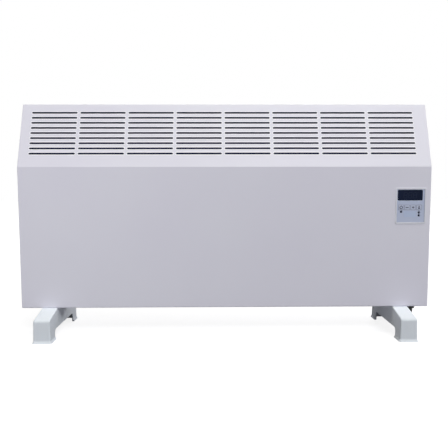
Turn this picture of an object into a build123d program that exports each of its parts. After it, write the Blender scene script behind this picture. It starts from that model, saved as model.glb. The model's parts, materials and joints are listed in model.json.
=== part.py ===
from build123d import *
import os
from math import atan2, degrees, hypot, radians, tan

# Wall panel convector heater standing on two feet, in millimetres.
# X runs along the front from left to right, Y from front to back and Z up.
# The origin is on the floor, under the middle of the casing.

# Casing of folded sheet steel
casing_width = 900.0
casing_depth = 92.0  # front face to the back of the back panel
front_height = 310.0  # bottom edge to the fold under the grille
slope_rise = 140.0
slope_run = 49.0
sheet = 1.0
fold_radius = 2.5  # outside of the folds that run along the width
end_radius = 1.5  # outside of the folds down the two ends
back_lip = 12.0  # flange around the open back
foot_height = 62.0  # floor to casing bottom

# Outlet grille in the slope
grille_rows = 9
grille_columns = 8
slot_width = 4.0
slot_gap = 6.6  # steel left between two slots in a row
grille_left = 22.5  # casing end to the first slot
grille_right = 31.6
grille_low = 30.8  # fold to the middle of the lowest row, along the slope
grille_high = 20.7  # middle of the top row to the upper fold

# Air inlets in the bottom
inlet_rows = 2
inlet_columns = 12
inlet_width = 8.0
inlet_length = 44.0
inlet_row_pitch = 26.0
inlet_end_gap = 30.0  # foot to the first inlet

# Back panel
back_sheet = 1.0
back_inset = 1.5  # its edge inside the casing's edge
keyhole_spacing = 600.0
keyhole_drop = 130.0  # casing top to the middle of the round hole, below what the grille shows
keyhole_radius = 5.0
keyhole_slot = 5.0
keyhole_rise = 12.0  # round hole's middle to the end of the slot
bead_length = 560.0
bead_width = 16.0
bead_depth = 3.0
bead_heights = [88.0, 208.0]  # above the casing bottom
vent_count = 14
vent_length = 30.0
vent_width = 5.0
vent_height = 24.0  # above the casing bottom
vent_end_gap = 112.0  # casing end to the first vent
panel_screw_columns = 3
panel_screw_end_gap = 90.0  # casing end to the first screw of a row

# Feet of moulded plastic
foot_width = 34.0  # across the seat
foot_draft = 1.5  # how much further out each side stands at the floor
foot_inset = 44.0  # casing end to the outer side of the seat
foot_length = 207.0
foot_seat = 90.0  # length of the flat that carries the casing
foot_shoulder = 49.0  # height of the upright front and back faces
foot_wall = 2.5
foot_lip = 2.5  # flare all round the bottom
foot_lip_height = 5.0
leg_length = 33.0
arch_height = 21.0
arch_radius = 9.0
foot_bend = 6.0
foot_edge = 2.5
foot_screw_spacing = 56.0
foot_boss_radius = 6.0
foot_boss_depth = 5.0
foot_nut_height = 4.0

# Mains lead gland
gland_side_gap = 21.5  # casing end to the middle of the gland
gland_thread_radius = 8.0
gland_collar_radius = 10.0
gland_collar_height = 1.5
gland_nut_radius = 9.5
gland_nut_tip = 5.5
gland_nut_height = 5.0
gland_nut_grip = 2.5  # upper part of the nut, at its full radius
gland_bore = 4.0
gland_inner_bore = 5.2
gland_ease = 0.5
gland_thread_end = 3.0  # thread past the locknut
locknut_flats = 21.0
locknut_height = 4.0

# Control unit in the front
control_side_gap = 44.0  # casing end to the middle of the overlay
control_drop = 85.8  # fold under the grille to the middle of the overlay
overlay_width = 60.8
overlay_height = 72.8
overlay_sheet = 1.0
overlay_recess = 0.6  # below the rim of the bezel
overlay_corner = 1.0
bezel_wall = 1.6
bezel_overlap = 1.4  # rim past the cut-out's side
bezel_proud = 1.0
bezel_collar = 5.0
bezel_ledge = 1.2
bezel_ledge_depth = 1.5
bezel_ease = 0.6  # bevel of the rim
window_width = 54.4
window_height = 22.1
window_left = 1.5  # overlay edge to window
window_top = 1.7
window_corner = 2.8

# Keys, in a row under the window
key_names = ["power", "minus", "plus", "mode"]
key_width = 10.6
key_height = 10.0
key_pitch = 13.15
key_row_left = 9.3  # overlay edge to the middle of the first key
key_row_drop = 39.6  # overlay top to the middle of the row
key_corner = 2.0
key_proud = 0.3
key_gap = 0.3  # all round the key in its hole
key_travel = 0.5
key_flange = 0.8
key_flange_edge = 1.0
key_stem_width = 3.0
key_ease = 0.24

# Circuit board and what is on it
board_width = 60.0
board_height = 72.0
board_sheet = 1.6
board_depth = 9.0  # casing front to the board's front face
board_hole_inset = 3.2
switch_side = 6.0
switch_height = 3.5
plunger_radius = 1.75
plunger_gap = 0.15
plunger_root = 1.0
indicator_radius = 1.4
indicator_recess = 0.1
indicator_ease = 0.5
indicator_places = [(9.5, 49.1), (48.6, 50.8), (48.6, 57.2)]  # from the overlay's left and top
relay_size = (20.0, 15.0, 16.0)
relay_place = (14.0, -13.0)  # from the middle of the board
transformer_size = (26.0, 15.0, 22.0)
transformer_place = (-12.0, 1.0)
capacitor_radius = 5.0
capacitor_length = 12.0
capacitor_place = (16.0, 9.0)
case_ease = 0.8
socket_size = (36.0, 12.0, 10.0)
socket_inset = (7.0, 4.0)  # board edges to the socket
socket_ways = 7
socket_pitch = 5.0

# Box behind the front that holds the board
box_wall = 2.0
box_depth = 29.0
box_post_width = 6.0
box_post_hole = 7.0
box_ear = 11.0
box_ear_width = 15.0
box_ear_sheet = 2.5
box_port_gap = 1.0  # around the lead socket
box_nut_radius = 3.2
box_nut_height = 2.4
stud_radius = 1.5
stud_length = 8.0

# Heating element: finned aluminium bar on a sheathed heater
element_depth = 42.0  # casing front to the heater's axis
element_height = 88.0  # casing bottom to the heater's axis
heater_radius = 4.0
core_radius = 8.0
wing_reach = 35.0
wing_sheet = 2.4
rib_sheet = 1.2
rib_length = 9.0
rib_places = [16.0, 22.5, 29.0]  # along each wing, from the heater's axis
fin_margin = 12.0  # bracket to the end of the fins
heater_overhang = 20.0
insulator_radius = 5.5
insulator_length = 8.0
tab_length = 10.0
tab_width = 6.3
tab_sheet = 0.8

# Sheet parts around the element
bracket_sheet = 1.2
bracket_end_gap = 80.0  # left casing end to the left bracket
bracket_to_partition = 50.0
bracket_tall = 84.0
bracket_nose = 40.0
bracket_reach = 24.0  # past the heater's axis, towards the front
bracket_flange = 14.0
bush_radius = 7.0
bush_flange = 2.5
bush_flange_sheet = 2.5
bush_lip = 1.5  # past the bracket's far side
partition_sheet = 1.0
partition_end_gap = 94.0  # right casing end to the partition
partition_top_gap = 17.0  # below the fold under the grille
partition_flange = 14.0
shield_sheet = 0.8
shield_low = 30.0  # above the casing bottom
shield_tall = 250.0
shield_stand = 7.0
shield_flange = 10.0
shield_step = 4.0  # height of the slanted step
shield_bend = 1.2

# Thermal cut-out, sensor, terminal block and earth stud
cutout_drop = 55.0  # partition top to the middle of the cut-out
cutout_behind = 16.0  # behind the heater's axis
cutout_radius = 8.0
cutout_can = 5.0
cutout_body = 9.0
cutout_ear_length = 30.0
cutout_ear_width = 12.8
cutout_ear_sheet = 1.0
cutout_tab_offset = 4.8
cutout_tab_length = 8.0
sensor_gap = 8.0  # partition to the sensor
sensor_radius = 2.5
sensor_length = 24.0
sensor_ease = 1.5
sensor_y = 0.0
sensor_height = 6.0  # casing floor to the sensor's axis
block_size = (36.0, 16.0, 18.0)
block_poles = 3
block_ease = 1.5
clamp_depth = 3.5
clamp_head = 2.4
block_height = 68.0  # casing bottom to the underside of the block
block_end_gap = 52.0  # right casing end to the middle of the block
earth_radius = 2.5
earth_length = 14.0
earth_base = 1.5
earth_nut_radius = 4.75
earth_nut_height = 4.0
earth_height = 32.0  # above the casing bottom
earth_end_gap = 39.0

# Internal leads and what holds them
lead_radius = 1.1
lead_sides = 8
lead_bend_limit = 22.0
lead_run_height = 22.0  # long lead above the casing bottom
lead_run_depth = 7.0  # in front of the back panel
lead_aside = 6.0  # small sideways steps of a lead
lead_entry = 20.0  # straight end above the terminal block
lead_slack = 45.0  # terminal block to where the lead turns back
lead_hang = 11.0  # in front of the terminal block's lead holes
lead_loop = 24.0  # past the heater's left tab
lead_climb = 36.0  # rise of a lead as it leaves the casing floor
earth_entry = 10.0  # straight end under the terminal block
grommet_radius = 4.5
grommet_lip = 1.2
grommet_lip_sheet = 1.5
clip_steps = [-6, -2, 2, 6]  # in vent pitches from the middle, so that each clip sits between two vents
clip_wall = 1.6
clip_stem = 2.4
clip_base = 9.0
clip_base_sheet = 1.2
clip_length = 8.0
sensor_clip_wall = 1.2
sensor_clip_base = 16.0

# Fasteners
panel_screw_radius = 1.6
panel_screw_head = 3.4
panel_screw_length = 8.0
panel_screw_rise = 2.0
foot_screw_radius = 2.0
foot_screw_head = 4.0
foot_screw_rise = 2.6
foot_screw_end = 2.0  # thread past the nut
small_screw_radius = 1.0
small_screw_head = 2.3
small_screw_rise = 1.6
small_screw_length = 7.6
head_ease = 0.45  # share of a screw head's rise that its edge slopes

# Clearances
fit_gap = 0.2  # pieces that slip into each other
screw_gap = 0.15  # screw in its hole
seat_gap = 0.3  # edges that don't touch
slip_gap = 0.05  # shafts in bores

# Places worked out from the sizes above
casing_end = casing_width / 2
front_y = -casing_depth / 2
back_y = casing_depth / 2
shell_back_y = back_y - back_sheet
bottom_z = foot_height
floor_z = bottom_z + sheet
fold_z = bottom_z + front_height
top_z = fold_z + slope_rise
casing_height = top_z - bottom_z
slope_length = hypot(slope_rise, slope_run)
inside_front_y = front_y + sheet

foot_x = casing_end - foot_inset - foot_width / 2
foot_screw_y = foot_screw_spacing / 2
gland_x = casing_end - gland_side_gap

control_x = casing_end - control_side_gap
control_z = fold_z - control_drop
overlay_left = control_x - overlay_width / 2
overlay_top = control_z + overlay_height / 2
overlay_y = front_y - bezel_proud + overlay_recess
overlay_back_y = overlay_y + overlay_sheet
collar_width = overlay_width + 2 * (fit_gap / 2 + bezel_wall)
collar_height = overlay_height + 2 * (fit_gap / 2 + bezel_wall)
window_x = overlay_left + window_left + window_width / 2
window_z = overlay_top - window_top - window_height / 2
key_z = overlay_top - key_row_drop
key_xs = [overlay_left + key_row_left + i * key_pitch for i in range(len(key_names))]
key_back_y = overlay_back_y + slip_gap + key_flange
board_y = front_y + board_depth
board_back_y = board_y + board_sheet
switch_top_y = board_y - switch_height
plunger_y = switch_top_y - 2 * key_travel
indicators = [(overlay_left + x, overlay_top - z) for x, z in indicator_places]
board_hole_x = board_width / 2 - board_hole_inset
board_hole_z = board_height / 2 - board_hole_inset
box_inner_width = collar_width + 2 * seat_gap
box_inner_height = collar_height + 2 * seat_gap
box_back_y = inside_front_y + box_depth
ear_z = box_inner_height / 2 + box_wall + box_ear / 2
socket_x = control_x - board_width / 2 + socket_inset[0] + socket_size[0] / 2
socket_z = control_z - board_height / 2 + socket_inset[1] + socket_size[2] / 2
socket_back_y = board_back_y + socket_size[1]

element_y = front_y + element_depth
element_z = bottom_z + element_height
partition_x = casing_end - partition_end_gap
bracket_left_x = -casing_end + bracket_end_gap
bracket_right_x = partition_x - bracket_to_partition
heater_left = bracket_left_x - heater_overhang
heater_right = bracket_right_x + heater_overhang
partition_top = fold_z - partition_top_gap
cutout_z = partition_top - cutout_drop
cutout_y = element_y + cutout_behind
lead_run_z = bottom_z + lead_run_height
lead_run_y = shell_back_y - lead_run_depth
sensor_z = floor_z + sensor_height
sensor_x = partition_x + sensor_gap
block_x = casing_end - block_end_gap
block_z = bottom_z + block_height
earth_x = casing_end - earth_end_gap
earth_z = bottom_z + earth_height
panel_screw_edge = (back_lip + sheet) / 2
panel_screw_x = casing_end - panel_screw_edge
panel_screw_pitch = (casing_width - 2 * panel_screw_end_gap) / (panel_screw_columns - 1)
panel_screws = [(panel_screw_end_gap - casing_end + i * panel_screw_pitch, z)
                for i in range(panel_screw_columns)
                for z in (bottom_z + panel_screw_edge, top_z - panel_screw_edge)]
panel_screws += [(x, bottom_z + casing_height / 2) for x in (-panel_screw_x, panel_screw_x)]


def front_plane(y):
    """Upright plane at depth y that faces the front; its own y runs up."""
    return Plane.XZ.offset(-y)


def save(part, name):
    part.label = name
    export_step(part, f"parts/{name}.step")


def draw_casing_side():
    """Side view of the casing, outside faces, open back included."""
    with BuildLine() as outline:
        FilletPolyline(
            (front_y, bottom_z), (shell_back_y, bottom_z), (shell_back_y, top_z),
            (front_y + slope_run, top_z), (front_y, fold_z),
            radius=[fold_radius, 0, 0, fold_radius, fold_radius], close=True)
    make_face(outline.edges())


def draw_slot(length, width):
    """Long hole with eased corners."""
    end, side, ease = length / 2, width / 2, width / 4
    Polygon((-end, -ease), (ease - end, -side), (end - ease, -side), (end, -ease),
            (end, ease), (end - ease, side), (ease - end, side), (-end, ease))


def draw_strip(points, bend, thickness):
    """Edge view of a folded sheet whose middle follows the points."""
    with BuildLine() as middle:
        FilletPolyline(points, radius=bend)
    trace(middle.line, line_width=thickness)


def draw_foot_side(base_z):
    """Side view of a foot down to base_z: upright ends, sloping shoulders and a flat seat."""
    end = foot_length / 2
    seat = foot_seat / 2
    with BuildLine() as outline:
        FilletPolyline(
            (-end, base_z), (end, base_z), (end, foot_shoulder), (seat, foot_height),
            (-seat, foot_height), (-end, foot_shoulder),
            radius=[0, 0, foot_bend, foot_bend, foot_bend, foot_bend], close=True)
    make_face(outline.edges())


def build_foot_block(centre_x, low_z, inset):
    """Side view of a foot, shrunk by the inset, with both sides leaning outwards towards the floor."""
    top_reach = foot_width / 2 - inset
    low_reach = top_reach + foot_draft * (foot_height - low_z) / foot_height
    with BuildPart() as block:
        with BuildSketch(Plane.YZ.offset(centre_x - low_reach)):
            draw_foot_side(low_z)
            if inset:
                offset(amount=-inset)
        extrude(amount=2 * low_reach)
        with BuildSketch(Plane.XZ):
            with BuildLine():
                Polyline(
                    (centre_x - low_reach, low_z), (centre_x + low_reach, low_z),
                    (centre_x + top_reach, foot_height), (centre_x - top_reach, foot_height), close=True)
            make_face()
        extrude(amount=foot_length, both=True, mode=Mode.INTERSECT)
    return block.part


def build_foot(centre_x):
    """Moulded channel, open below, with an arch through its sides and two screw bosses inside."""
    end = foot_length / 2
    leg_end = end - leg_length
    floor_width = foot_width + 2 * foot_draft
    hollow = build_foot_block(centre_x, -2 * foot_wall, foot_wall)
    with BuildPart() as foot:
        add(build_foot_block(centre_x, 0, 0))
        sides = foot.faces().filter_by(lambda face: abs(face.normal_at().X) > 0.9)
        fillet(sides.edges().filter_by(lambda edge: edge.center().Z > foot_lip_height), radius=foot_edge)
        # flared lip around the bottom of each leg; its slope runs on inside the wall
        lip_length = leg_length + 3 * foot_lip
        lip_y = end + foot_lip - lip_length / 2
        lip_run = foot_lip + foot_draft * foot_lip_height / foot_height
        with BuildSketch(Plane.XY):
            with Locations((centre_x, -lip_y), (centre_x, lip_y)):
                RectangleRounded(floor_width + 2 * foot_lip, lip_length, foot_edge + foot_lip)
        extrude(amount=foot_lip_height + foot_wall / 2, taper=degrees(atan2(lip_run, foot_lip_height)))
        add(hollow, mode=Mode.SUBTRACT)
        # screw bosses under the seat, each braced by a rib
        with BuildSketch(Plane.XY.offset(foot_height - foot_wall / 2)):
            with Locations((centre_x, -foot_screw_y), (centre_x, foot_screw_y)):
                Circle(foot_boss_radius)
                Rectangle(foot_width - foot_wall, foot_wall)
        extrude(amount=-foot_boss_depth - foot_wall / 2)
        with Locations((centre_x, -foot_screw_y, foot_height), (centre_x, foot_screw_y, foot_height)):
            Cylinder(foot_screw_radius + screw_gap, 4 * foot_boss_depth, mode=Mode.SUBTRACT)
        # arch between the legs
        arch_reach = floor_width / 2 + 2 * foot_lip
        with BuildSketch(Plane.YZ.offset(centre_x - arch_reach)):
            with BuildLine():
                FilletPolyline(
                    (-leg_end, -foot_wall), (leg_end, -foot_wall), (leg_end, arch_height),
                    (-leg_end, arch_height), radius=[0, 0, arch_radius, arch_radius], close=True)
            make_face()
        extrude(amount=2 * arch_reach, mode=Mode.SUBTRACT)
    return foot.part


def build_screws(plane, places, radius, head, rise, length, hexagon=False):
    """Screws with a round or hexagon head, each standing on the plane and running back along its normal."""
    with BuildPart() as screws:
        with BuildSketch(plane):
            with Locations(*places):
                if hexagon:
                    RegularPolygon(head, 6)
                else:
                    Circle(head)
        extrude(amount=rise)
        level = screws.faces().filter_by(plane)
        tops = level.filter_by(lambda face: plane.to_local_coords(face).center().Z > rise / 2)
        chamfer(tops.edges(), length=head_ease * rise)
        with BuildSketch(plane):
            with Locations(*places):
                Circle(radius)
        extrude(amount=-length)
    return screws.part


def build_lead(points, bend=lead_bend_limit):
    """Insulated wire along straight runs joined by the largest arcs that the runs allow."""
    corners = [Vector(*point) for point in points]
    radii = []
    for before, here, after in zip(corners, corners[1:], corners[2:]):
        turn = (here - before).get_angle(after - here)
        shorter = min((here - before).length, (after - here).length)
        radii.append(min(bend, 0.45 * shorter / tan(radians(turn / 2))))
    with BuildPart() as lead:
        with BuildLine() as route:
            FilletPolyline(*points, radius=radii)
        path = route.wire()
        with BuildSketch(Plane(origin=path @ 0, z_dir=path % 0)):
            RegularPolygon(lead_radius, lead_sides)
        sweep(path=path)
    print(f"lead: length {path.length:.0f}, tightest arc {min(radii):.1f}")
    return lead.part


os.makedirs("parts", exist_ok=True)

# Casing: front, slope, top, bottom and ends of one folded sheet, with a lip around the open back
slot_length = (casing_width - grille_left - grille_right - (grille_columns - 1) * slot_gap) / grille_columns
grille_x = (grille_left - grille_right) / 2
grille_s = (grille_low + slope_length - grille_high) / 2
row_pitch = (slope_length - grille_low - grille_high) / (grille_rows - 1)
slope_plane = Plane(
    origin=(0, front_y, fold_z), x_dir=(1, 0, 0), z_dir=(0, -slope_rise, slope_run))
inlet_field = 2 * (foot_x - foot_width / 2 - inlet_end_gap)
inlet_pitch = (inlet_field - inlet_length) / (inlet_columns - 1)

with BuildPart() as front_casing:
    with BuildSketch(Plane.YZ.offset(-casing_end)):
        draw_casing_side()
    extrude(amount=casing_width)
    ends = front_casing.faces().filter_by(Axis.X)
    fillet(ends.edges().filter_by(lambda edge: edge.center().Y < shell_back_y - 0.01), radius=end_radius)
    with BuildSketch(Plane.YZ.offset(-casing_end + sheet)):
        draw_casing_side()
        offset(amount=-sheet)
    extrude(amount=casing_width - 2 * sheet, mode=Mode.SUBTRACT)
    # open back inside the lip
    with BuildSketch(front_plane(shell_back_y)):
        with Locations((0, bottom_z + casing_height / 2)):
            Rectangle(casing_width - 2 * back_lip, casing_height - 2 * back_lip)
        with Locations(*panel_screws):
            Circle(panel_screw_radius + slip_gap)
    extrude(amount=2 * sheet, mode=Mode.SUBTRACT)
    # outlet grille
    with BuildSketch(slope_plane):
        with Locations((grille_x, grille_s)):
            with GridLocations(slot_length + slot_gap, row_pitch, grille_columns, grille_rows):
                draw_slot(slot_length, slot_width)
    extrude(amount=-2 * sheet, mode=Mode.SUBTRACT)
    # bottom: air inlets, foot screws and gland
    with BuildSketch(Plane.XY.offset(bottom_z)):
        with GridLocations(inlet_pitch, inlet_row_pitch, inlet_columns, inlet_rows):
            draw_slot(inlet_length, inlet_width)
        with GridLocations(2 * foot_x, foot_screw_spacing, 2, 2):
            Circle(foot_screw_radius + screw_gap)
        with Locations((gland_x, 0)):
            Circle(gland_thread_radius + fit_gap)
    extrude(amount=2 * sheet, mode=Mode.SUBTRACT)
    # cut-out for the control unit
    with BuildSketch(front_plane(front_y)):
        with Locations((control_x, control_z)):
            RectangleRounded(collar_width + 2 * fit_gap, collar_height + 2 * fit_gap, overlay_corner + bezel_wall)
    extrude(amount=-2 * sheet, mode=Mode.SUBTRACT)
save(front_casing.part, "front_casing")

# Back panel: flat sheet with two keyholes, pressed beads and a row of vents
keyhole_z = top_z - keyhole_drop
panel_width = casing_width - 2 * back_inset
panel_height = casing_height - 2 * back_inset
vent_pitch = (casing_width - 2 * vent_end_gap - vent_length) / (vent_count - 1)
with BuildPart() as back_panel:
    with BuildSketch(front_plane(back_y)):
        with Locations((0, bottom_z + casing_height / 2)):
            RectangleRounded(panel_width, panel_height, 2 * end_radius)
    extrude(amount=back_sheet)
    for height in bead_heights:
        with BuildSketch(front_plane(shell_back_y)):
            with Locations((0, bottom_z + height)):
                SlotOverall(bead_length, bead_width)
        extrude(amount=bead_depth, taper=30)
        with BuildSketch(front_plane(back_y)):
            with Locations((0, bottom_z + height)):
                SlotOverall(bead_length, bead_width)
        extrude(amount=bead_depth, taper=30, mode=Mode.SUBTRACT)
    with BuildSketch(front_plane(back_y)):
        with Locations((-keyhole_spacing / 2, keyhole_z), (keyhole_spacing / 2, keyhole_z)):
            Circle(keyhole_radius)
            with Locations((0, keyhole_rise / 2)):
                SlotOverall(keyhole_rise + keyhole_slot, keyhole_slot, rotation=90)
        with Locations(*panel_screws):
            Circle(panel_screw_radius + screw_gap)
        with Locations((0, bottom_z + vent_height)):
            with GridLocations(vent_pitch, 1, vent_count, 1):
                draw_slot(vent_length, vent_width)
    extrude(amount=2 * back_sheet, mode=Mode.SUBTRACT)
save(back_panel.part, "back_panel")
back_plane = Plane(origin=(0, back_y, 0), x_dir=(-1, 0, 0), z_dir=(0, 1, 0))
save(build_screws(back_plane, [(-x, z) for x, z in panel_screws],
                  panel_screw_radius, panel_screw_head, panel_screw_rise, panel_screw_length), "back_panel_screws")

# Feet, with the screws that hold them and the nuts fixed inside the casing
save(build_foot(-foot_x), "foot_left")
save(build_foot(foot_x), "foot_right")
foot_clamp = foot_wall + foot_boss_depth
foot_places = [(x, y) for x in (-foot_x, foot_x) for y in (-foot_screw_y, foot_screw_y)]
under_boss = Plane(origin=(0, 0, foot_height - foot_clamp), x_dir=(1, 0, 0), z_dir=(0, 0, -1))
save(build_screws(under_boss, [(x, -y) for x, y in foot_places], foot_screw_radius, foot_screw_head,
                  foot_screw_rise, foot_clamp + sheet + foot_nut_height + foot_screw_end, hexagon=True), "foot_screws")
with BuildPart() as foot_nuts:
    with BuildSketch(Plane.XY.offset(floor_z)):
        with Locations(*foot_places):
            RegularPolygon(2 * foot_screw_radius, 6)
            Circle(foot_screw_radius + slip_gap, mode=Mode.SUBTRACT)
    extrude(amount=foot_nut_height)
save(foot_nuts.part, "foot_nuts")

# Gland for the mains lead: body through the bottom, dome nut below and locknut inside
gland_low_z = bottom_z - gland_collar_height
gland_top_z = floor_z + locknut_height + gland_thread_end
with BuildPart() as cable_gland:
    with BuildSketch(Plane.XY.offset(gland_low_z)):
        with Locations((gland_x, 0)):
            RegularPolygon(gland_collar_radius, 6, major_radius=False)
    extrude(amount=gland_collar_height)
    chamfer(cable_gland.faces().sort_by(Axis.Z)[0].edges(), length=gland_ease)
    with BuildSketch(Plane.XY.offset(bottom_z)):
        with Locations((gland_x, 0)):
            Circle(gland_thread_radius)
    extrude(amount=gland_top_z - bottom_z)
    with Locations((gland_x, 0, bottom_z)):
        Cylinder(gland_inner_bore, 2 * (gland_top_z - gland_low_z), mode=Mode.SUBTRACT)
save(cable_gland.part, "cable_gland")
with BuildPart() as gland_nut:
    with BuildSketch(Plane.XZ):
        with BuildLine():
            low = gland_low_z - gland_nut_height
            Polyline(
                (gland_x + gland_bore, low), (gland_x + gland_nut_tip, low),
                (gland_x + gland_nut_radius, gland_low_z - gland_nut_grip),
                (gland_x + gland_nut_radius, gland_low_z), (gland_x + gland_bore, gland_low_z), close=True)
        make_face()
    revolve(axis=Axis((gland_x, 0, 0), (0, 0, 1)))
save(gland_nut.part, "gland_nut")
with BuildPart() as gland_locknut:
    with BuildSketch(Plane.XY.offset(floor_z)):
        with Locations((gland_x, 0)):
            RegularPolygon(locknut_flats / 2, 6, major_radius=False)
            Circle(gland_thread_radius + slip_gap, mode=Mode.SUBTRACT)
    extrude(amount=locknut_height)
save(gland_locknut.part, "gland_locknut")

# Control bezel: rim on the casing, collar through it and a ledge under the overlay
with BuildPart() as control_bezel:
    with BuildSketch(front_plane(front_y)):
        with Locations((control_x, control_z)):
            RectangleRounded(collar_width + 2 * (fit_gap + bezel_overlap), collar_height + 2 * (fit_gap + bezel_overlap),
                             overlay_corner + bezel_wall + bezel_overlap)
    extrude(amount=bezel_proud)
    chamfer(control_bezel.faces().sort_by(Axis.Y)[0].edges(), length=bezel_ease)
    with BuildSketch(front_plane(front_y)):
        with Locations((control_x, control_z)):
            RectangleRounded(collar_width, collar_height, overlay_corner + bezel_wall)
    extrude(amount=-sheet - bezel_collar)
    with BuildSketch(front_plane(front_y - bezel_proud)):
        with Locations((control_x, control_z)):
            RectangleRounded(overlay_width + fit_gap, overlay_height + fit_gap, overlay_corner + fit_gap / 2)
    extrude(amount=-overlay_recess - overlay_sheet, mode=Mode.SUBTRACT)
    with BuildSketch(front_plane(overlay_back_y)):
        with Locations((control_x, control_z)):
            Rectangle(overlay_width + fit_gap - 2 * bezel_ledge, overlay_height + fit_gap - 2 * bezel_ledge)
    extrude(amount=-bezel_ledge_depth, mode=Mode.SUBTRACT)
    with BuildSketch(front_plane(overlay_back_y + bezel_ledge_depth)):
        with Locations((control_x, control_z)):
            RectangleRounded(overlay_width + fit_gap, overlay_height + fit_gap, overlay_corner)
    extrude(amount=-bezel_collar - 2 * sheet, mode=Mode.SUBTRACT)
save(control_bezel.part, "control_bezel")

# Overlay with openings for the window, the keys and the indicators
with BuildPart() as control_overlay:
    with BuildSketch(front_plane(overlay_back_y)):
        with Locations((control_x, control_z)):
            RectangleRounded(overlay_width, overlay_height, overlay_corner)
        with Locations((window_x, window_z)):
            RectangleRounded(window_width + fit_gap, window_height + fit_gap, window_corner, mode=Mode.SUBTRACT)
        with Locations(*[(x, key_z) for x in key_xs]):
            RectangleRounded(key_width + 2 * key_gap, key_height + 2 * key_gap, key_corner + key_gap, mode=Mode.SUBTRACT)
        with Locations(*indicators):
            Circle(indicator_radius + fit_gap, mode=Mode.SUBTRACT)
    extrude(amount=overlay_sheet)
save(control_overlay.part, "control_overlay")

# Smoked window, flush with the overlay, on the display
with BuildPart() as display_window:
    with BuildSketch(front_plane(overlay_back_y)):
        with Locations((window_x, window_z)):
            RectangleRounded(window_width, window_height, window_corner - fit_gap / 2)
    extrude(amount=overlay_sheet)
save(display_window.part, "display_window")
display_width = 2 * (board_hole_x - small_screw_head - 2 * fit_gap)
with BuildPart() as display_module:
    with BuildSketch(front_plane(board_y)):
        with Locations((control_x, window_z)):
            Rectangle(display_width, window_height - 2 * fit_gap)
    extrude(amount=board_y - overlay_back_y)
save(display_module.part, "display_module")

# Keys, each with a retaining flange and a stem, and the plunger that it presses
for name, x in zip(key_names, key_xs):
    with BuildPart() as key:
        with BuildSketch(front_plane(overlay_back_y + slip_gap)):
            with Locations((x, key_z)):
                RectangleRounded(key_width, key_height, key_corner)
        extrude(amount=overlay_sheet + slip_gap + key_proud)
        chamfer(key.faces().sort_by(Axis.Y)[0].edges(), length=key_ease)
        with BuildSketch(front_plane(key_back_y)):
            with Locations((x, key_z)):
                Rectangle(key_width + 2 * key_flange_edge, key_height + 2 * key_flange_edge)
        extrude(amount=key_flange)
        with BuildSketch(front_plane(plunger_y)):
            with Locations((x, key_z)):
                Rectangle(key_stem_width, key_stem_width)
        extrude(amount=plunger_y - key_back_y)
    save(key.part, f"key_{name}")
    with BuildPart() as plunger:
        with BuildSketch(front_plane(plunger_y)):
            with Locations((x, key_z)):
                Circle(plunger_radius)
        extrude(amount=-(switch_top_y - plunger_y) - plunger_root)
    save(plunger.part, f"switch_plunger_{name}")

# Bodies of the four switches on the board
with BuildPart() as key_switches:
    with BuildSketch(front_plane(board_y)):
        with Locations(*[(x, key_z) for x in key_xs]):
            Rectangle(switch_side, switch_side)
    extrude(amount=switch_height)
    with BuildSketch(front_plane(switch_top_y)):
        with Locations(*[(x, key_z) for x in key_xs]):
            Circle(plunger_radius + plunger_gap)
    extrude(amount=-plunger_root - 2 * key_travel, mode=Mode.SUBTRACT)
save(key_switches.part, "key_switches")

# Indicator lights, from the board up into the overlay's holes
with BuildPart() as indicator_lights:
    with BuildSketch(front_plane(board_y)):
        with Locations(*indicators):
            Circle(indicator_radius)
    extrude(amount=board_y - overlay_y - indicator_recess)
    tips = indicator_lights.faces().filter_by(Plane.XZ).filter_by(lambda face: face.center().Y < board_y - 1)
    chamfer(tips.edges(), length=indicator_ease)
save(indicator_lights.part, "indicator_lights")

# Circuit board and the parts on its back
board_holes = [(control_x + x, control_z + z) for x in (-board_hole_x, board_hole_x)
               for z in (-board_hole_z, board_hole_z)]
with BuildPart() as circuit_board:
    with BuildSketch(front_plane(board_back_y)):
        with Locations((control_x, control_z)):
            Rectangle(board_width, board_height)
        with Locations(*board_holes):
            Circle(small_screw_radius + screw_gap, mode=Mode.SUBTRACT)
    extrude(amount=board_sheet)
save(circuit_board.part, "circuit_board")


def build_board_part(place, size):
    """Closed case on the back of the board, with eased edges."""
    width, depth, height = size
    with BuildPart() as case:
        with BuildSketch(front_plane(board_back_y)):
            with Locations((control_x + place[0], control_z + place[1])):
                Rectangle(width, height)
        extrude(amount=-depth)
        chamfer(case.faces().sort_by(Axis.Y)[-1].edges(), length=case_ease)
    return case.part


save(build_board_part(relay_place, relay_size), "relay")
save(build_board_part(transformer_place, transformer_size), "transformer")
with BuildPart() as capacitor:
    with BuildSketch(front_plane(board_back_y)):
        with Locations((control_x + capacitor_place[0], control_z + capacitor_place[1])):
            Circle(capacitor_radius)
    extrude(amount=-capacitor_length)
    chamfer(capacitor.faces().sort_by(Axis.Y)[-1].edges(), length=case_ease)
save(capacitor.part, "capacitor")
with BuildPart() as lead_socket:
    with BuildSketch(front_plane(board_back_y)):
        with Locations((socket_x, socket_z)):
            Rectangle(socket_size[0], socket_size[2])
    extrude(amount=-socket_size[1])
save(lead_socket.part, "lead_socket")
board_plane = front_plane(board_y)
save(build_screws(board_plane, board_holes, small_screw_radius, small_screw_head,
                  small_screw_rise, small_screw_length, hexagon=True), "board_screws")

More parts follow.
